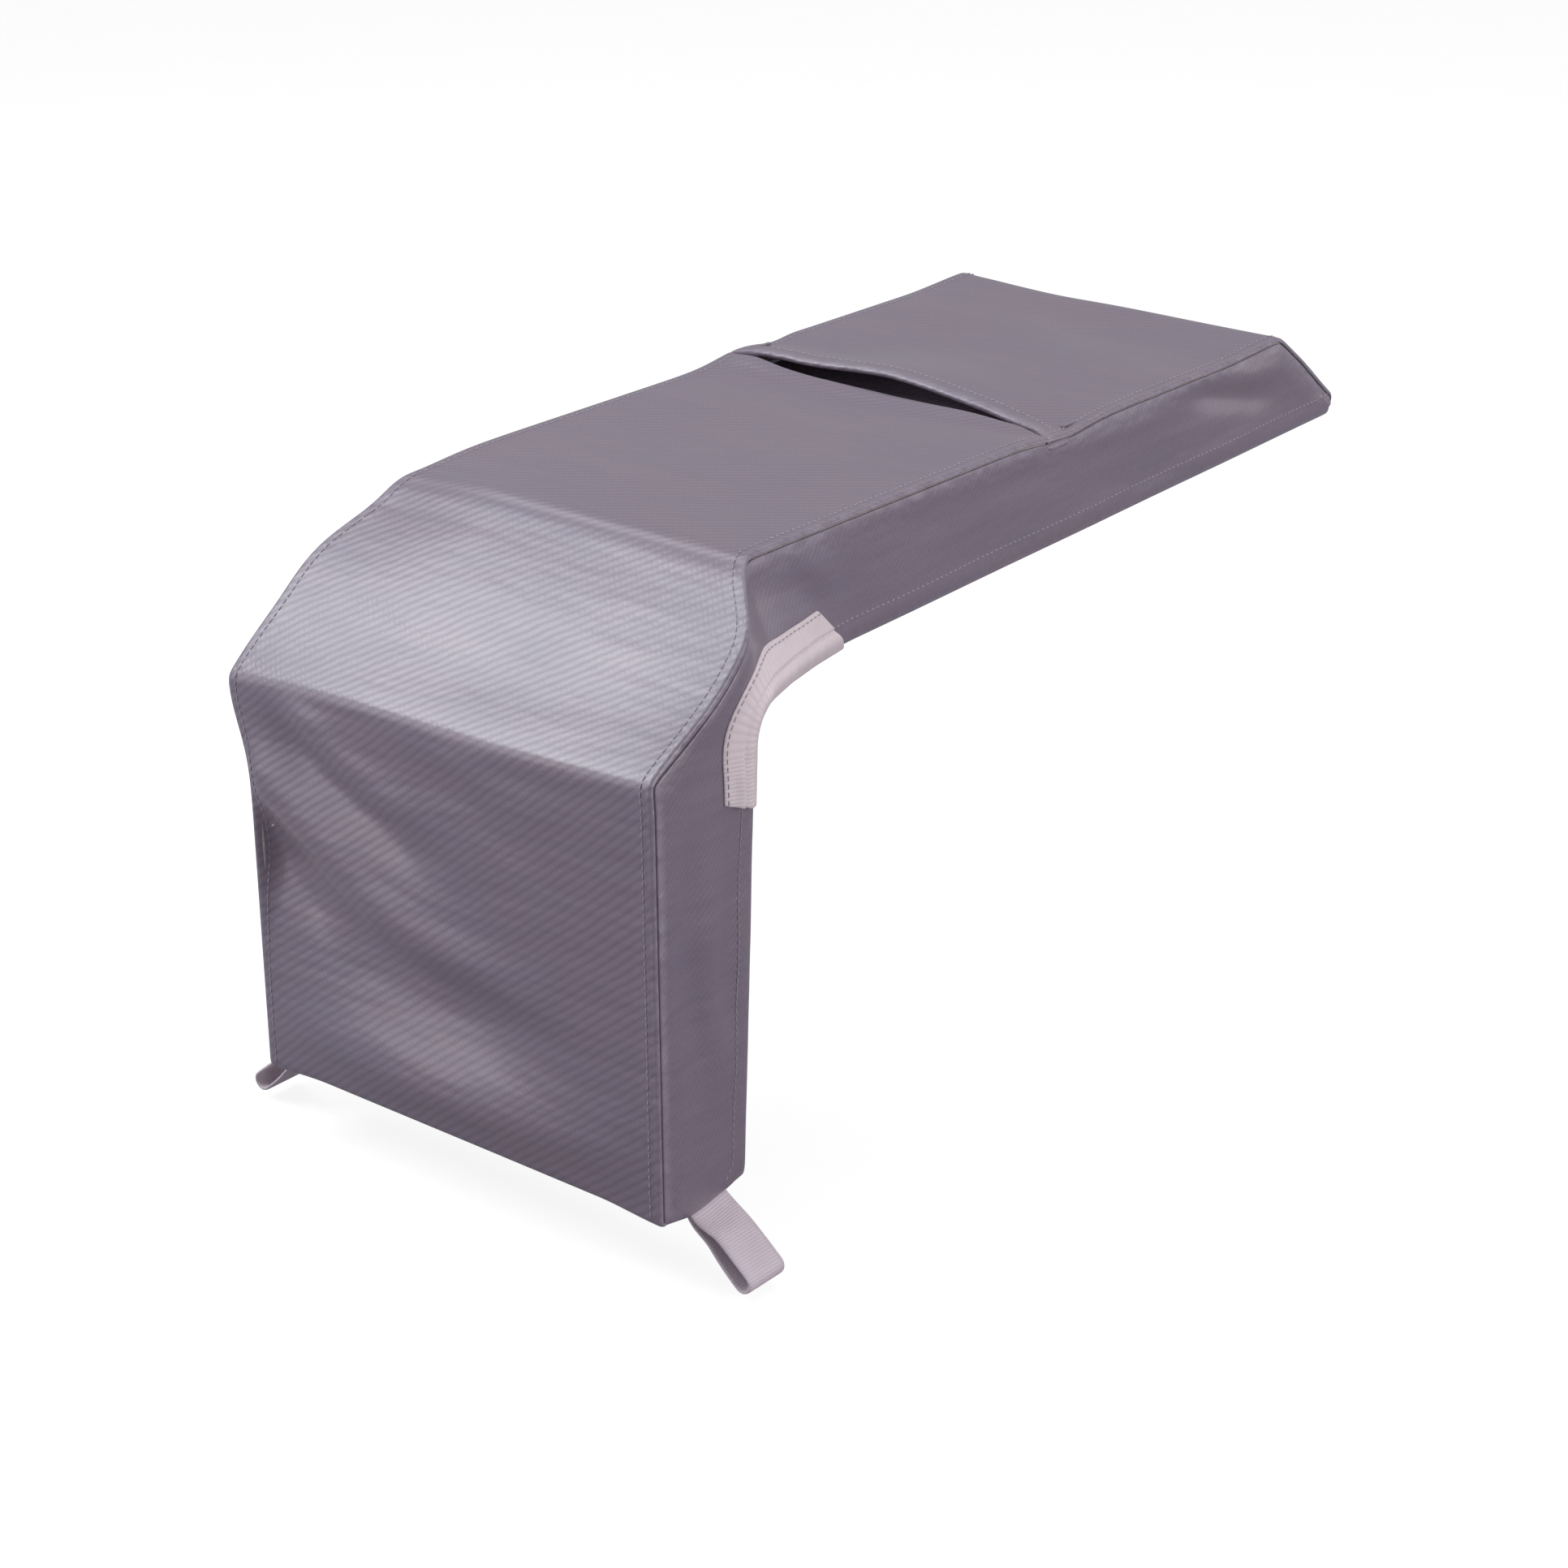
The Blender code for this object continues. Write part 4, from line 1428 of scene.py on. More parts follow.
@dataclass
class SidePanel:
    """One L-shaped side of the hood, from the roof seam to the open hem."""

    side: Side
    form: HoodForm
    shop: Workshop
    finishes: Wardrobe
    spacing: float = 4.0 * MM
    stitch_lines: list[Array] = field(default_factory=list)

    def pairs(self, spacing: float) -> tuple[Array, Array]:
        """Matches distances along the roof line with distances along the hem.

        Args:
            spacing: The distance between rows.

        Returns:
            Distances along the roof line and along the hem.
        """
        form = self.form
        start = form.roof.corner_runs[1] + 1.6 * MM
        roof_marks = [start, form.ridge_run, form.crease_run, form.rear_run, form.roof.length - 1.5 * MM]
        bottom, corner, tip = form.hem.corner_runs[1], form.hem.corner_runs[2], form.hem.length
        hem_marks = [bottom + 1.0 * MM, corner - 0.033, corner + 0.026, tip - 0.047, tip - 1.0 * MM]
        count = int((roof_marks[-1] - start) / spacing)
        run = np.linspace(start, roof_marks[-1], count)
        gap = run - form.ridge_run
        run = run - 0.40 * gap * np.exp(-((gap / 0.016) ** 2))
        return run, np.interp(run, roof_marks, hem_marks)

    def flat_grid(self, spacing: float, count: int, top: float, hem_inset: float) -> tuple[Array, ...]:
        """The panel's (y, z) points between its seam and its hem.

        Args:
            spacing: The distance between rows.
            count: The number of columns.
            top: How far below the roof line it starts, past the seam's own drop.
            hem_inset: How far from the hem it ends.

        Returns:
            Points, the hem's outward direction for each row, and the roof distances.
        """
        form = self.form
        run, hem_run = self.pairs(spacing)
        drop = form.sizes.roll + form.seam_down(run) + top
        seam = form.roof.at(run) - form.roof.left(run) * drop[:, None]
        outward = -form.hem.left(hem_run)
        hem = form.hem.at(hem_run) - outward * hem_inset
        outward[0] = (1.0, 0.0)
        hem[0] = (form.sizes.leg_depth - hem_inset, seam[0, 1])
        share = np.linspace(0.0, 1.0, count)
        points = seam[:, None, :] + (hem - seam)[:, None, :] * share[None, :, None]
        return points, outward, run

    def face_points(self, flat: Array, tuck: Array | float = 0.0) -> Array:
        """Stands flat (y, z) points on the side's outer face.

        Args:
            flat: Points as (y, z).
            tuck: How far each is tucked inwards.

        Returns:
            Points in the hood's own frame.
        """
        y, z = flat[..., 0], flat[..., 1]
        width = self.form.half_width(y, z, self.side.value)
        roof_gap = self.form.roof.distance(flat)
        hem_gap = self.form.hem.distance(flat)
        inside = smooth_step((roof_gap - 2 * MM) / (10 * MM)) * smooth_step(hem_gap / (9 * MM))
        puff = 1.0 * MM * inside
        hem_band = 0.5 * MM * swell(hem_gap - 5 * MM, 4 * MM)
        width = width + self.form.side_relief(y, z) * inside + puff + hem_band - tuck
        return np.stack([self.side.value * width, y, z], axis=-1)

    def grid(self) -> ClothGrid:
        """The outer cloth, with its seam tuck, its rolled bottom and its turned-in hem."""
        form, sizes = self.form, self.form.sizes
        radius = sizes.wall / 2 - 0.1 * MM
        flat, outward, run = self.flat_grid(self.spacing, 15, 2.4 * MM, radius)
        seam_rows = []
        for down, tuck in ((0.85, sizes.seam_tuck / MM), (1.05, 0.1), (1.5, 0.0)):
            drop = sizes.roll + form.seam_down(run) + down * MM
            seam = form.roof.at(run) - form.roof.left(run) * drop[:, None]
            shallow = 1.0 - 0.7 * smooth_step((run - form.rear_run + 0.004) / 0.012)
            seam_rows.append(self.face_points(seam, tuck * MM * shallow))
        face = self.face_points(flat)
        hem_rows = []
        inward = np.array([-self.side.value, 0.0, 0.0])
        on = np.concatenate([np.zeros((len(outward), 1)), outward], axis=1)
        room = np.linalg.norm(flat[:, -1] - flat[:, 0], axis=1)[:, None]
        for turn, back in hem_turns(5 * MM, 10 * MM):
            reach = radius * math.sin(turn) - np.minimum(back, 0.6 * room * back / (10 * MM))
            moved = face[:, -1] + on * reach + inward * radius * (1 - math.cos(turn))
            hem_rows.append(moved)
        plain = np.concatenate([np.stack(seam_rows, axis=1), face, np.stack(hem_rows, axis=1)], axis=1)
        bottom = self.bottom_roll(plain[0])
        points = form.warp(np.concatenate([bottom, plain]))
        uv = np.concatenate([bottom, plain])[..., 1:]
        edge = np.minimum(form.roof.distance(uv) - 3.5 * MM, form.hem.distance(uv)).clip(0.0)
        edge[:, -6:] = 0.0
        return ClothGrid(points, uv, edge, self.side is Side.LEFT)

    def bottom_roll(self, first: Array) -> Array:
        """Rows that roll the panel's lower edge in under the leg.

        Args:
            first: The panel's lowest row.

        Returns:
            The new rows, from the innermost up to the edge.
        """
        radius = float(first[4:14, 2].mean())
        rows = []
        for angle in (90, 62, 32):
            turn = math.radians(angle)
            moved = first.copy()
            moved[:, 0] -= self.side.value * radius * (1 - math.cos(turn))
            moved[:, 2] -= radius * math.sin(turn)
            rows.append(moved)
        return np.array(rows)

    def inner_grid(self, ply: Ply, hem_inset: float) -> ClothGrid:
        """The face that the felt or liner ply is measured from.

        Args:
            ply: The ply.
            hem_inset: How far from the hem it ends.

        Returns:
            The grid.
        """
        top = ply.value[0] - self.form.sizes.roll + 0.4 * MM
        columns = 11
        plain, _, run = self.flat_grid(6 * MM, columns, 0.0, hem_inset)
        hem = plain[:, -1]
        seam = self.form.roof.at(run) - self.form.roof.left(run) * (self.form.sizes.roll + top)
        # At the arm's tip the seam meets the hem, and the ply stops short of it.
        room = np.einsum("ij,ij->i", seam - hem, self.form.roof.left(run))
        roomy = room > 5 * MM
        share = np.linspace(0.0, 1.0, columns)
        flat = (seam[:, None, :] + (hem - seam)[:, None, :] * share[None, :, None])[roomy]
        flat[..., 1] = np.maximum(flat[..., 1], ply.value[1] + 0.4 * MM)
        points = self.form.warp(self.face_points(flat))
        edge = np.full(flat.shape[:2], 10 * MM)
        return ClothGrid(points, flat, edge, self.side is Side.LEFT)

    def build(self) -> list[Piece]:
        """Makes the side's three plies and plans its stitching.

        Returns:
            The pieces.
        """
        label, finishes = self.side.label, self.finishes
        grid = self.grid()
        felt_grid = self.inner_grid(Ply.FELT, 3 * MM)
        liner_grid = self.inner_grid(Ply.LINER, 13 * MM)
        ply = self.shop.ply
        shell = ply(f"side_cloth_{label}", grid, Ply.SHELL, finishes.side_cloth)
        felt = ply(f"side_felt_{label}", felt_grid, Ply.FELT, finishes.felt, subdivide=False)
        liner = ply(f"side_liner_{label}", liner_grid, Ply.LINER, finishes.liner_cloth, subdivide=False)
        pieces = [
            dress(shell, "shell_cloth", f"side_panel_{label}"),
            dress(felt, "felt", f"felt_side_panel_{label}"),
            dress(liner, "liner_cloth", f"liner_side_panel_{label}"),
        ]
        declare_cloth(shell, grid, "stretched", f"felt_side_panel_{label}")
        declare_cloth(liner, liner_grid, "stretched", f"felt_side_panel_{label}")
        self.plan_stitches(grid)
        LOG.info("%s side: %d pieces", label, len(pieces))
        return pieces

    def plan_stitches(self, grid: ClothGrid) -> None:
        """Adds the line inside the hem."""
        rows = range(4, len(grid.points) - 1)
        shown = 18
        part = ClothGrid(grid.points[:, :shown], grid.uv[:, :shown], grid.edge[:, :shown], grid.flipped)
        hem_gap = -self.form.hem.distance(part.uv)
        self.stitch_lines.append(part.line(-self.form.sizes.hem, hem_gap, rows, STITCH_LIFT))


@dataclass
class BottomPanel:
    """The closed bottom of the leg."""

    form: HoodForm
    shop: Workshop
    finishes: Wardrobe
    stitch_lines: list[Array] = field(default_factory=list)

    def grid(self, inset: float, front: float, rear: float, hem: bool) -> ClothGrid:
        """One ply's outer face.

        Args:
            inset: How far it stays inside the sides.
            front: Its nearest distance from the front.
            rear: Its farthest.
            hem: True to turn its rear edge in.

        Returns:
            The grid, facing down.
        """
        columns, rows = 45, 13
        y = np.linspace(rear, front, rows)[:, None]
        left = self.form.half_width(y, 0.0 * y, -1) - inset
        right = self.form.half_width(y, 0.0 * y, 1) - inset
        share = np.linspace(0.0, 1.0, columns)[None, :]
        x = -left + share * (left + right)
        plain = np.stack([x, np.broadcast_to(y, x.shape), np.zeros_like(x)], axis=-1)
        if hem:
            radius = self.form.sizes.wall / 2 - 0.1 * MM
            turned = []
            for turn, back in reversed(hem_turns(4 * MM, 9 * MM)):
                shift = (0.0, radius * math.sin(turn) - back, radius * (1 - math.cos(turn)))
                turned.append(plain[0] + np.array(shift))
            plain = np.concatenate([np.array(turned), plain])
        uv = plain[..., :2].copy()
        edge = np.minimum(self.form.sizes.leg_half_width - np.abs(uv[..., 0]), uv[..., 1])
        return ClothGrid(self.form.warp(plain), uv, np.abs(edge))

    def build(self) -> list[Piece]:
        """Makes the bottom's three plies.

        Returns:
            The pieces.
        """
        sizes = self.form.sizes
        rear = sizes.leg_depth - sizes.wall / 2
        ply, finishes = self.shop.ply, self.finishes
        shell_grid = self.grid(1.9 * MM, 6.4 * MM, rear, hem=True)
        felt_grid = self.grid(5.0 * MM, 5.0 * MM, sizes.leg_depth - 3 * MM, hem=False)
        liner_grid = self.grid(6.2 * MM, 6.2 * MM, sizes.leg_depth - 13 * MM, hem=False)
        shell = ply("bottom_cloth", shell_grid, Ply.SHELL, finishes.shell_cloth)
        felt = ply("bottom_felt", felt_grid, Ply.FELT, finishes.felt, subdivide=False)
        liner = ply("bottom_liner", liner_grid, Ply.LINER, finishes.liner_cloth, subdivide=False)
        pieces = [
            dress(shell, "shell_cloth", "bottom_panel"),
            dress(felt, "felt", "felt_bottom_panel"),
            dress(liner, "liner_cloth", "liner_bottom_panel"),
        ]
        declare_cloth(shell, shell_grid, "stretched", "felt_bottom_panel")
        declare_cloth(liner, liner_grid, "stretched", "felt_bottom_panel")
        line = [(x, rear - sizes.hem + 2.5 * MM, 0.0) for x in np.linspace(-0.090, 0.090, 60)]
        self.stitch_lines.append(self.form.warp(np.array(line)) - np.array([0.0, 0.0, STITCH_LIFT]))
        LOG.info("bottom: %d pieces", len(pieces))
        return pieces


@dataclass
class CornerTape:
    """Pale tape folded over the hem at one inner corner."""

    panel: SidePanel
    width: float = 20 * MM
    arm_reach: float = 0.068
    arm_slant: float = 0.017
    leg_reach: float = 0.031
    leg_slant: float = 0.005
    inner_steps: int = 3
    inner_step: float = 4 * MM
    stitch_inset: float = 1.8 * MM
    rows: int = 53
    profile: tuple[tuple[float, float], ...] = (
        (20.0, 0.55), (19.2, 0.95), (17.5, 1.20), (15.0, 1.35), (12.6, 1.65), (11.2, 2.10), (10.4, 1.50),
        (9.8, 0.45), (9.0, 1.25), (7.8, 2.05), (6.0, 2.3), (4.2, 2.0), (2.6, 1.4),
    )
    stitch_lines: list[Array] = field(default_factory=list)

    def face_columns(self) -> tuple[list[Array], list[Array]]:
        """The tape's outer side, from its sewn edge to the fold over the hem.

        Each pair of the profile is a depth from the hem and a height above the cloth, in
        millimetres, and the dip between its two swellings is the pressed middle groove.

        Returns:
            Columns of points, and their distances along the hem from the corner.
        """
        form, side = self.panel.form, self.panel.side
        corner = form.hem.corner_runs[2]
        share = np.linspace(0.0, 1.0, self.rows)
        columns, measure = [], []
        for depth, height in np.array(self.profile) * MM:
            first = self.leg_slant * depth / self.width - self.leg_reach
            last = self.arm_reach - self.arm_slant * depth / self.width
            run = corner + first + share * (last - first)
            reach = depth * (1.0 + 0.08 * swell(run - corner, 0.018))
            points = self.panel.face_points(form.hem.at(run) + form.hem.left(run) * reach[:, None])
            on_leg = smooth_step((corner - 6 * MM - run) / (12 * MM))
            on_leg = on_leg * smooth_step((run - corner + 0.042) / 0.012)
            lip = 1.3 * MM * on_leg * swell(depth - 12.2 * MM, 1.7 * MM)
            wave = 0.18 * MM * np.sin(run * 900.0) * swell(depth - 5 * MM, 4 * MM)
            points[:, 0] += side.value * (height + lip + wave)
            columns.append(points)
            measure.append(run - corner)
        return columns, measure

    def fold_columns(self) -> tuple[list[Array], Array]:
        """The tape's fold round the hem and its flat inner side.

        Returns:
            Columns of points, and the rows' distances along the hem from the corner.
        """
        form, side = self.panel.form, self.panel.side
        radius = form.sizes.wall / 2 + 0.9 * MM
        corner = form.hem.corner_runs[2]
        share = np.linspace(0.0, 1.0, self.rows)
        run = corner - self.leg_reach + share * (self.leg_reach + self.arm_reach)
        outward = -form.hem.left(run)
        on = np.concatenate([np.zeros((self.rows, 1)), outward], axis=1)
        centre = self.panel.face_points(form.hem.at(run) - outward * 1.6 * MM)
        centre[:, 0] -= side.value * form.sizes.wall / 2
        columns = []
        for angle in (35, 62, 90, 118, 145, 180):
            turn = math.radians(angle)
            moved = centre + on * (radius * 0.95) * math.sin(turn)
            moved[:, 0] += side.value * radius * math.cos(turn)
            columns.append(moved)
        for _ in range(self.inner_steps):
            columns.append(columns[-1] - on * self.inner_step)
        return columns, run - corner

    def build(self) -> Piece:
        """Makes the tape as one closed band, and plans the stitching along its edge.

        Returns:
            The piece.
        """
        side = self.panel.side
        columns, measure = self.face_columns()
        folded, folded_run = self.fold_columns()
        plain = np.stack(columns + folded, axis=1)
        along = np.stack(measure + [folded_run] * len(folded), axis=1)
        steps = np.linalg.norm(np.diff(plain[self.rows // 4], axis=0), axis=1)
        across = np.concatenate([[0.0], np.cumsum(steps)])
        reach = np.broadcast_to(across, plain.shape[:2])
        edge = np.minimum(across, across[-1] - across)[None, :]
        ends = np.minimum(np.arange(self.rows), np.arange(self.rows)[::-1])[:, None] * 1.8 * MM
        uv = np.stack([reach, along], axis=-1)
        grid = ClothGrid(self.panel.form.warp(plain), uv, np.minimum(edge, ends), side is Side.LEFT)
        name = f"corner_tape_cloth_{side.label}"
        piece = self.panel.shop.piece(name, *grid.shell(0.0, 0.8 * MM), self.panel.finishes.corner_tape)
        dress(piece, "corner_tape", f"corner_tape_{side.label}")
        declare_cloth(piece, grid, "folded", f"side_panel_{side.label}")
        self.stitch_lines.append(grid.line(self.stitch_inset, reach, range(1, self.rows - 1), 0.1 * MM))
        LOG.info("%s corner tape", side.label)
        return piece


@dataclass
class PullLoop:
    """A webbing loop that hangs from the side edge of the leg's bottom."""

    side: Side
    form: HoodForm
    shop: Workshop
    finishes: Wardrobe
    width: float = 20 * MM
    thickness: float = 1.3 * MM
    length: float = 35 * MM
    end_radius: float = 4.2 * MM
    hang: float = math.radians(42.0)
    forward: float = 3.5 * MM

    def pivot(self) -> Array:
        """The middle of the loop's sewn root, in the hood's own frame."""
        joint = next(j for j in frame["joints"] if j["name"] == f"loop_{self.side.label}_swing")
        return np.array(joint["pos_m"]) - self.shop.shift

    def path(self) -> tuple[Array, Array]:
        """The webbing's middle line out along the upper strand and back along the lower.

        Returns:
            Points as (out, up) from the root, and the outward side of the band at each.
        """
        radius = self.end_radius - self.thickness / 2
        reach = self.length + 3.0 * MM - self.end_radius
        root = 0.7 * MM
        lean = math.asin((radius - root) / reach)
        rise = radius * math.cos(lean) - root
        line = []
        for share in np.linspace(0.0, 1.0, 18, endpoint=False):
            bow = 0.5 * MM * math.sin(share * math.pi)
            line.append((share * reach, root + share * rise + bow))
        for angle in np.linspace(math.pi / 2, -math.pi / 2, 15):
            line.append((reach + radius * math.cos(angle), radius * math.sin(angle)))
        for share in np.linspace(1.0, 0.0, 19)[1:]:
            bow = 1.5 * MM * math.sin(share * math.pi) * share
            line.append((share * reach, -root - share * rise - bow))
        local = np.array(line)
        tangent = unit(np.gradient(local, axis=0))
        return local, np.stack([-tangent[:, 1], tangent[:, 0]], axis=1)

    def ribbon(self, middle: Array, normal: Array) -> ClothGrid:
        """A band of webbing along a line in the (x, z) plane.

        Args:
            middle: The line's points, as (x, z).
            normal: The band's outer side at each.

        Returns:
            The band's outer face.
        """
        root = self.pivot()
        across = np.linspace(-0.5, 0.5, 11)
        face = middle + normal * self.thickness / 2
        points = np.zeros((len(middle), len(across), 3))
        points[..., 0] = face[:, None, 0]
        points[..., 2] = face[:, None, 1]
        points[..., 1] = root[1] + across[None, :] * self.width
        run = np.concatenate([[0.0], np.cumsum(np.linalg.norm(np.diff(middle, axis=0), axis=1))])
        uv = np.stack(np.broadcast_arrays(across[None, :] * self.width, run[:, None]), axis=-1)
        edge = self.width / 2 - np.abs(uv[..., 0])
        return ClothGrid(points, uv, edge)

    def build(self) -> list[Piece]:
        """Makes the loop, its sewn tail inside the hood and the tack across the tail.

        Returns:
            The pieces.
        """
        return [self.build_loop(), self.build_tail(), self.build_tack()]

    def build_loop(self) -> Piece:
        """Makes the loop and blends its root into the hood."""
        local, normal = self.path()
        out = np.array([self.side.value * math.cos(self.hang), -math.sin(self.hang)])
        up = np.array([self.side.value * math.sin(self.hang), math.cos(self.hang)])
        root = self.pivot()
        first = root[[0, 2]] - out * 4.5 * MM - np.array([0.0, 1.2 * MM])
        middle = first + local[:, :1] * out + local[:, 1:] * up
        outer = normal[:, :1] * out + normal[:, 1:] * up
        grid = self.ribbon(middle, outer)
        grid.points[..., 1] -= self.forward
        grid.flipped = self.side is Side.RIGHT
        points, faces, uv, edge = self.soften(grid.shell(0.0, self.thickness))
        name = f"pull_loop_webbing_{self.side.label}"
        piece = self.shop.piece(name, points, faces, uv, edge, self.finishes.webbing, subdivide=False)
        fix_normals(piece)
        smooth_once(piece)
        bake(piece)
        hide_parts(f"pull_loop_{self.side.label}")
        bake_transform(piece)
        LOG.info("%s pull loop", self.side.label)
        return piece

    def soften(self, shell: Shell) -> Shell:
        """Lets the shell follow the hood's own slack near the root."""
        points, faces, uv, edge = shell
        moved = self.form.warp(points)
        near = smooth_step(1.0 - np.linalg.norm((points - self.pivot())[:, [0, 2]], axis=1) / (14 * MM))
        return points + (moved - points) * near[:, None], faces, uv, edge

    def build_tail(self) -> Piece:
        """Makes the sewn tail that lies on the liner inside."""
        low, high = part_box(f"loop_tail_{self.side.label}")
        low, high = np.array(low) - self.shop.shift, np.array(high) - self.shop.shift
        x = np.linspace(low[0], high[0], 9)
        middle = np.stack([x, np.full(len(x), (low[2] + high[2]) / 2 + 0.4 * MM)], axis=1)
        grid = self.ribbon(middle, np.tile((0.0, 1.0), (len(x), 1)))
        grid.points[..., 2] = high[2] - 0.15 * MM * (1 + np.cos(grid.uv[..., 1] * 500.0))
        shell = grid.shell(0.0, high[2] - low[2] - 0.3 * MM)
        piece = self.shop.piece(f"loop_tail_webbing_{self.side.label}", *shell, self.finishes.webbing)
        fix_normals(piece)
        return dress(piece, "webbing", f"loop_tail_{self.side.label}")

    def build_tack(self) -> Piece:
        """Makes the dense bar of thread across the tail."""
        name = f"loop_bartack_{self.side.label}"
        piece = thread_bar(f"loop_tack_{self.side.label}", name, self.finishes.tack)
        return dress(piece, "thread", name)


def fix_normals(piece: Piece) -> None:
    """Turns a closed piece's faces outwards."""
    work = bmesh.new()
    work.from_mesh(piece.data)
    bmesh.ops.recalc_face_normals(work, faces=work.faces)
    if work.calc_volume(signed=True) < 0:
        bmesh.ops.reverse_faces(work, faces=work.faces)
    work.to_mesh(piece.data)
    work.free()


def thread_bar(name: str, node: str, material: Material, drop: float = 0.0) -> Piece:
    """A tack of dense zigzag thread in the place of a CAD node.

    Args:
        name: The new piece's name.
        node: The CAD node that it follows.
        material: Its finish.
        drop: How far below the node it lies.

    Returns:
        The piece: a row of thread loops across the bar.
    """
    low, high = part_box(node)
    size = high - low
    long_axis = max(range(2), key=lambda axis: size[axis])
    short_axis = 1 - long_axis
    turns = 11
    work = bmesh.new()
    for turn in range(turns):
        share = (turn + 0.5) / turns
        centre = (low + high) / 2
        centre[long_axis] = low[long_axis] + share * size[long_axis]
        centre.z -= drop
        scale = Vector((0.0, 0.0, size.z * 0.75))
        scale[long_axis] = size[long_axis] / turns * 0.62
        scale[short_axis] = size[short_axis] * 0.52
        slant = Matrix.Rotation(0.22 * (-1) ** turn, 4, "Z")
        place = Matrix.Translation(centre) @ slant @ Matrix.Diagonal((*scale, 1.0))
        bmesh.ops.create_icosphere(work, subdivisions=2, radius=1.0, matrix=place)
    mesh = bpy.data.meshes.new(name)
    work.to_mesh(mesh)
    work.free()
    mesh.polygons.foreach_set("use_smooth", np.ones(len(mesh.polygons), bool))
    mesh.materials.append(material)
    return put(name, mesh)


@dataclass
class SlotTacks:
    """The two tacks that close the ends of the slot."""

    form: HoodForm
    shop: Workshop
    finishes: Wardrobe

    def build(self) -> list[Piece]:
        """Makes both tacks."""
        pieces = []
        for side in Side:
            node = f"slot_bartack_{side.label}"
            low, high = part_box(node)
            here = (np.array(low) + np.array(high)) / 2 - self.shop.shift
            here[2] = self.form.sizes.height
            drop = -float(self.form.warp(here)[2] - here[2]) + 0.5 * MM
            bar = thread_bar(f"slot_tack_{side.label}", node, self.finishes.tack, drop)
            pieces.append(dress(bar, "thread", node))
        LOG.info("slot tacks: %d pieces", len(pieces))
        return pieces


@dataclass
class Stitching:
    """Rows of single stitches, laid along lines by Geometry Nodes."""

    shop: Workshop
    material: Material
    pitch: float = 3.0 * MM
    stitch_length: float = 1.15 * MM
    thread: float = 0.27 * MM

    def tree(self) -> NodeTree:
        """Builds the node tree that sets a stitch at each step of a line."""
        tree = bpy.data.node_groups.new("Stitch Rows", "GeometryNodeTree")
        tree.interface.new_socket("Lines", in_out="INPUT", socket_type="NodeSocketGeometry")
        for name in ("Pitch", "Half Length", "Half Thickness"):
            tree.interface.new_socket(name, in_out="INPUT", socket_type=FLOAT)
        tree.interface.new_socket("Material", in_out="INPUT", socket_type="NodeSocketMaterial")
        tree.interface.new_socket("Stitches", in_out="OUTPUT", socket_type="NodeSocketGeometry")
        bench = NodeBench(tree)
        given = bench.add("NodeGroupInput").outputs
        result = bench.add("NodeGroupOutput").inputs
        curves = bench.add("GeometryNodeMeshToCurve")
        spaced = bench.add("GeometryNodeResampleCurve", mode="LENGTH")
        ball = bench.add("GeometryNodeMeshUVSphere")
        ball.inputs["Segments"].default_value = 6
        ball.inputs["Rings"].default_value = 4
        ball.inputs["Radius"].default_value = 1.0
        size = bench.add("ShaderNodeCombineXYZ")
        place = bench.add("GeometryNodeInstanceOnPoints")
        tangent = bench.add("GeometryNodeInputTangent")
        align = bench.add("FunctionNodeAlignRotationToVector", axis="Z")
        real = bench.add("GeometryNodeRealizeInstances")
        smooth = bench.add("GeometryNodeSetShadeSmooth")
        finish = bench.add("GeometryNodeSetMaterial")
        for source, target in (
            (given["Lines"], curves.inputs[0]),
            (curves.outputs[0], spaced.inputs["Curve"]),
            (given["Pitch"], spaced.inputs["Length"]),
            (spaced.outputs[0], place.inputs["Points"]),
            (ball.outputs["Mesh"], place.inputs["Instance"]),
            (tangent.outputs[0], align.inputs["Vector"]),
            (align.outputs[0], place.inputs["Rotation"]),
            (given["Half Thickness"], size.inputs[0]),
            (given["Half Thickness"], size.inputs[1]),
            (given["Half Length"], size.inputs[2]),
            (size.outputs[0], place.inputs["Scale"]),
            (place.outputs[0], real.inputs[0]),
            (real.outputs[0], smooth.inputs[0]),
            (smooth.outputs[0], finish.inputs["Geometry"]),
            (given["Material"], finish.inputs["Material"]),
            (finish.outputs[0], result["Stitches"]),
        ):
            bench.link(source, target)
        return tree

    def build(self, name: str, lines: Sequence[Array]) -> Piece:
        """Lays stitches along lines and keeps them as one plain mesh.

        Args:
            name: The piece's name.
            lines: The lines, in the hood's own frame.

        Returns:
            The piece.
        """
        points, edges = [], []
        for line in lines:
            first = len(points)
            points.extend((line + self.shop.shift).tolist())
            edges.extend((first + i, first + i + 1) for i in range(len(line) - 1))
        mesh = bpy.data.meshes.new(name)
        mesh.from_pydata(points, edges, [])
        piece = put(name, mesh)
        modifier = piece.modifiers.new("stitches", "NODES")
        modifier.node_group = self.tree()
        values = {
            "Pitch": self.pitch,
            "Half Length": self.stitch_length,
            "Half Thickness": self.thread,
            "Material": self.material,
        }
        for item in modifier.node_group.interface.items_tree:
            if item.in_out == "INPUT" and item.name in values:
                modifier[item.identifier] = values[item.name]
        bake(piece)
        LOG.info("%s: %d faces", name, len(piece.data.polygons))
        return dress(piece, "thread")


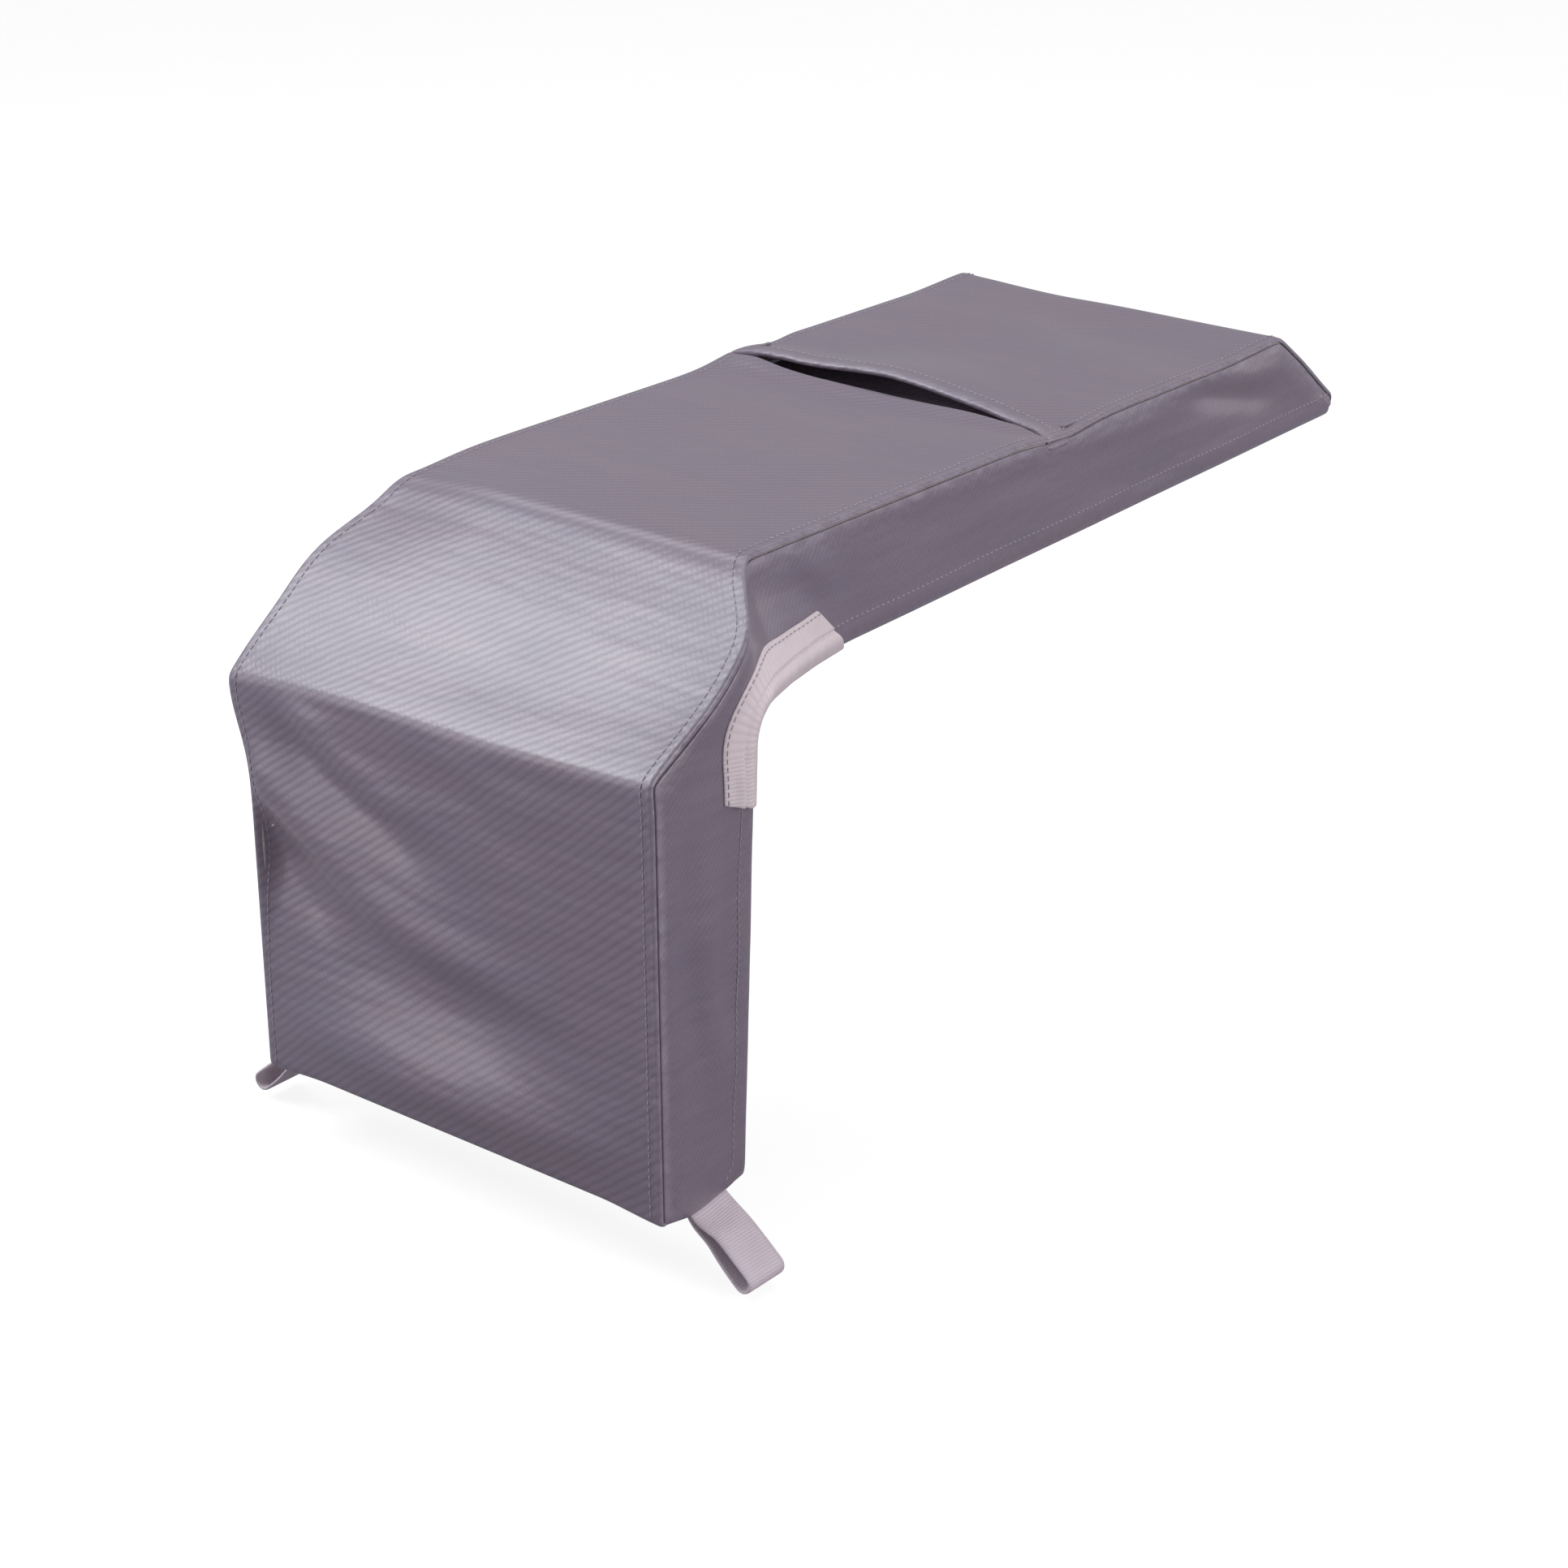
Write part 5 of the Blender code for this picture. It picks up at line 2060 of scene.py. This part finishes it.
@dataclass(frozen=True)
class SoftLight:
    """One large soft light.

    Attributes:
        name: Its name.
        towards: The direction from the hood to the light.
        distance: How far away it is.
        size: Its width.
        power: Its power in watts.
        colour: Its colour.
    """

    name: str
    towards: tuple[float, float, float]
    distance: float
    size: float
    power: float
    colour: tuple[float, float, float] = (1.0, 1.0, 1.0)

    def build(self, aim: Vector) -> None:
        """Sets the light up, facing the aim point."""
        data = bpy.data.lights.new(self.name, "AREA")
        data.shape = "DISK"
        data.size = self.size
        data.energy = self.power
        data.color = self.colour
        light = put(self.name, data)
        direction = Vector(self.towards).normalized()
        light.location = aim + direction * self.distance
        light.rotation_mode = "QUATERNION"
        light.rotation_quaternion = direction.to_track_quat("Z", "Y")


@dataclass
class Studio:
    """The pale floor, the soft light and the camera."""

    camera_place: tuple[float, float, float] = (0.803, -0.950, 0.391)
    camera_turn: float = math.radians(39.2)
    camera_dip: float = math.radians(22.8)
    camera_roll: float = math.radians(0.33)
    lens: float = 78.33
    lights: tuple[SoftLight, ...] = (
        SoftLight("nose_light", (-0.56, -0.49, 0.67), 1.6, 0.9, 12.2, (0.92, 0.97, 1.0)),
        SoftLight("top_light", (0.10, 0.35, 1.0), 1.8, 1.3, 7.5, (1.0, 0.98, 1.0)),
        SoftLight("front_sheen", (-0.60, -0.78, 0.10), 2.4, 1.6, 11.0, (0.98, 0.96, 1.0)),
        SoftLight("side_fill", (1.0, 0.05, 0.30), 2.2, 1.4, 17.0, (1.0, 0.97, 1.0)),
        SoftLight("side_sheen", (0.60, 0.78, 0.00), 2.6, 1.8, 6.0, (0.98, 0.97, 1.0)),
        SoftLight("slot_light", (-0.60, 0.22, 0.76), 1.6, 0.5, 2.0, (0.95, 0.97, 1.0)),
    )

    def build(self) -> None:
        """Sets up the whole studio."""
        scene = bpy.context.scene
        scene.view_settings.view_transform = "Standard"
        self.build_camera()
        self.build_world()
        self.build_floor()
        for light in self.lights:
            light.build(Vector((0.0, 0.0, -0.05)))
        LOG.info("studio")

    def build_camera(self) -> None:
        """Makes the camera for the three-quarter view from the front right."""
        data = bpy.data.cameras.new("camera")
        data.lens = self.lens
        data.sensor_width = 36.0
        camera = put("camera", data)
        camera.location = self.camera_place
        turn = (
            Matrix.Rotation(self.camera_turn, 3, "Z")
            @ Matrix.Rotation(math.pi / 2 - self.camera_dip, 3, "X")
            @ Matrix.Rotation(-self.camera_roll, 3, "Z")
        )
        camera.rotation_euler = turn.to_euler()
        bpy.context.scene.camera = camera

    def build_world(self) -> None:
        """Makes the surroundings: white to the eye, and a softer light on the hood."""
        world = bpy.data.worlds.new("studio")
        world.use_nodes = True
        bpy.context.scene.world = world
        world.node_tree.nodes.clear()
        bench = NodeBench(world.node_tree)
        seen = bench.add("ShaderNodeBackground")
        seen.inputs["Color"].default_value = (1.0, 1.0, 1.0, 1.0)
        lit = bench.add("ShaderNodeBackground")
        lit.inputs["Color"].default_value = (0.97, 0.95, 1.0, 1.0)
        lit.inputs["Strength"].default_value = 0.34
        self.show(bench, seen, lit, bench.add("ShaderNodeOutputWorld"))

    @staticmethod
    def show(bench: NodeBench, seen: Node, lit: Node, output: Node) -> None:
        """Ends a tree with one shader that the camera sees and another that lights the hood."""
        path = bench.add("ShaderNodeLightPath")
        both = bench.add("ShaderNodeMixShader")
        bench.link(path.outputs["Is Camera Ray"], both.inputs[0])
        bench.link(lit.outputs[0], both.inputs[1])
        bench.link(seen.outputs[0], both.inputs[2])
        bench.link(both.outputs[0], output.inputs["Surface"])

    def build_floor(self) -> None:
        """Makes the plain pale floor just below the loops."""
        lowest = min(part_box(f"pull_loop_{side.label}")[0].z for side in Side)
        half = 12.0
        mesh = bpy.data.meshes.new("floor")
        z = lowest - 4 * MM
        corners = [(-half, -half, z), (half, -half, z), (half, half, z), (-half, half, z)]
        mesh.from_pydata(corners, [], [(0, 1, 2, 3)])
        floor = put("floor", mesh)
        material = bpy.data.materials.new("floor")
        material.use_nodes = True
        material.node_tree.nodes.clear()
        bench = NodeBench(material.node_tree)
        grain = bench.noise(bench.add("ShaderNodeTexCoord").outputs["Object"], 30.0)
        pale = bench.add("ShaderNodeBsdfDiffuse")
        bench.link(bench.mix(grain, (0.31, 0.31, 0.31, 1.0), (0.34, 0.34, 0.34, 1.0)), pale.inputs["Color"])
        lit = bench.add("ShaderNodeEmission")
        lit.inputs["Strength"].default_value = 0.84
        bright = bench.add("ShaderNodeAddShader")
        dim = bench.add("ShaderNodeBsdfDiffuse")
        dim.inputs["Color"].default_value = (0.34, 0.32, 0.35, 1.0)
        bench.link(pale.outputs[0], bright.inputs[0])
        bench.link(lit.outputs[0], bright.inputs[1])
        self.show(bench, bright, dim, bench.add("ShaderNodeOutputMaterial"))
        mesh.materials.append(material)


def main() -> None:
    """Builds the hood piece by piece, then the studio."""
    logging.basicConfig(level=logging.INFO, format="%(name)s: %(message)s")
    sizes = HoodSizes.from_frame()
    form = HoodForm(sizes)
    shop = Workshop(sizes)
    finishes = Wardrobe.make()
    Studio().build()
    roof = RoofPanels(form, shop, finishes)
    roof.build()
    lines = list(roof.stitch_lines)
    for side in Side:
        panel = SidePanel(side, form, shop, finishes)
        panel.build()
        tape = CornerTape(panel)
        tape.build()
        PullLoop(side, form, shop, finishes).build()
        lines.extend(panel.stitch_lines)
        lines.extend(tape.stitch_lines)
    bottom = BottomPanel(form, shop, finishes)
    bottom.build()
    lines.extend(bottom.stitch_lines)
    SlotTacks(form, shop, finishes).build()
    Stitching(shop, finishes.thread).build("topstitching", lines)


if __name__ == "__main__":
    main()
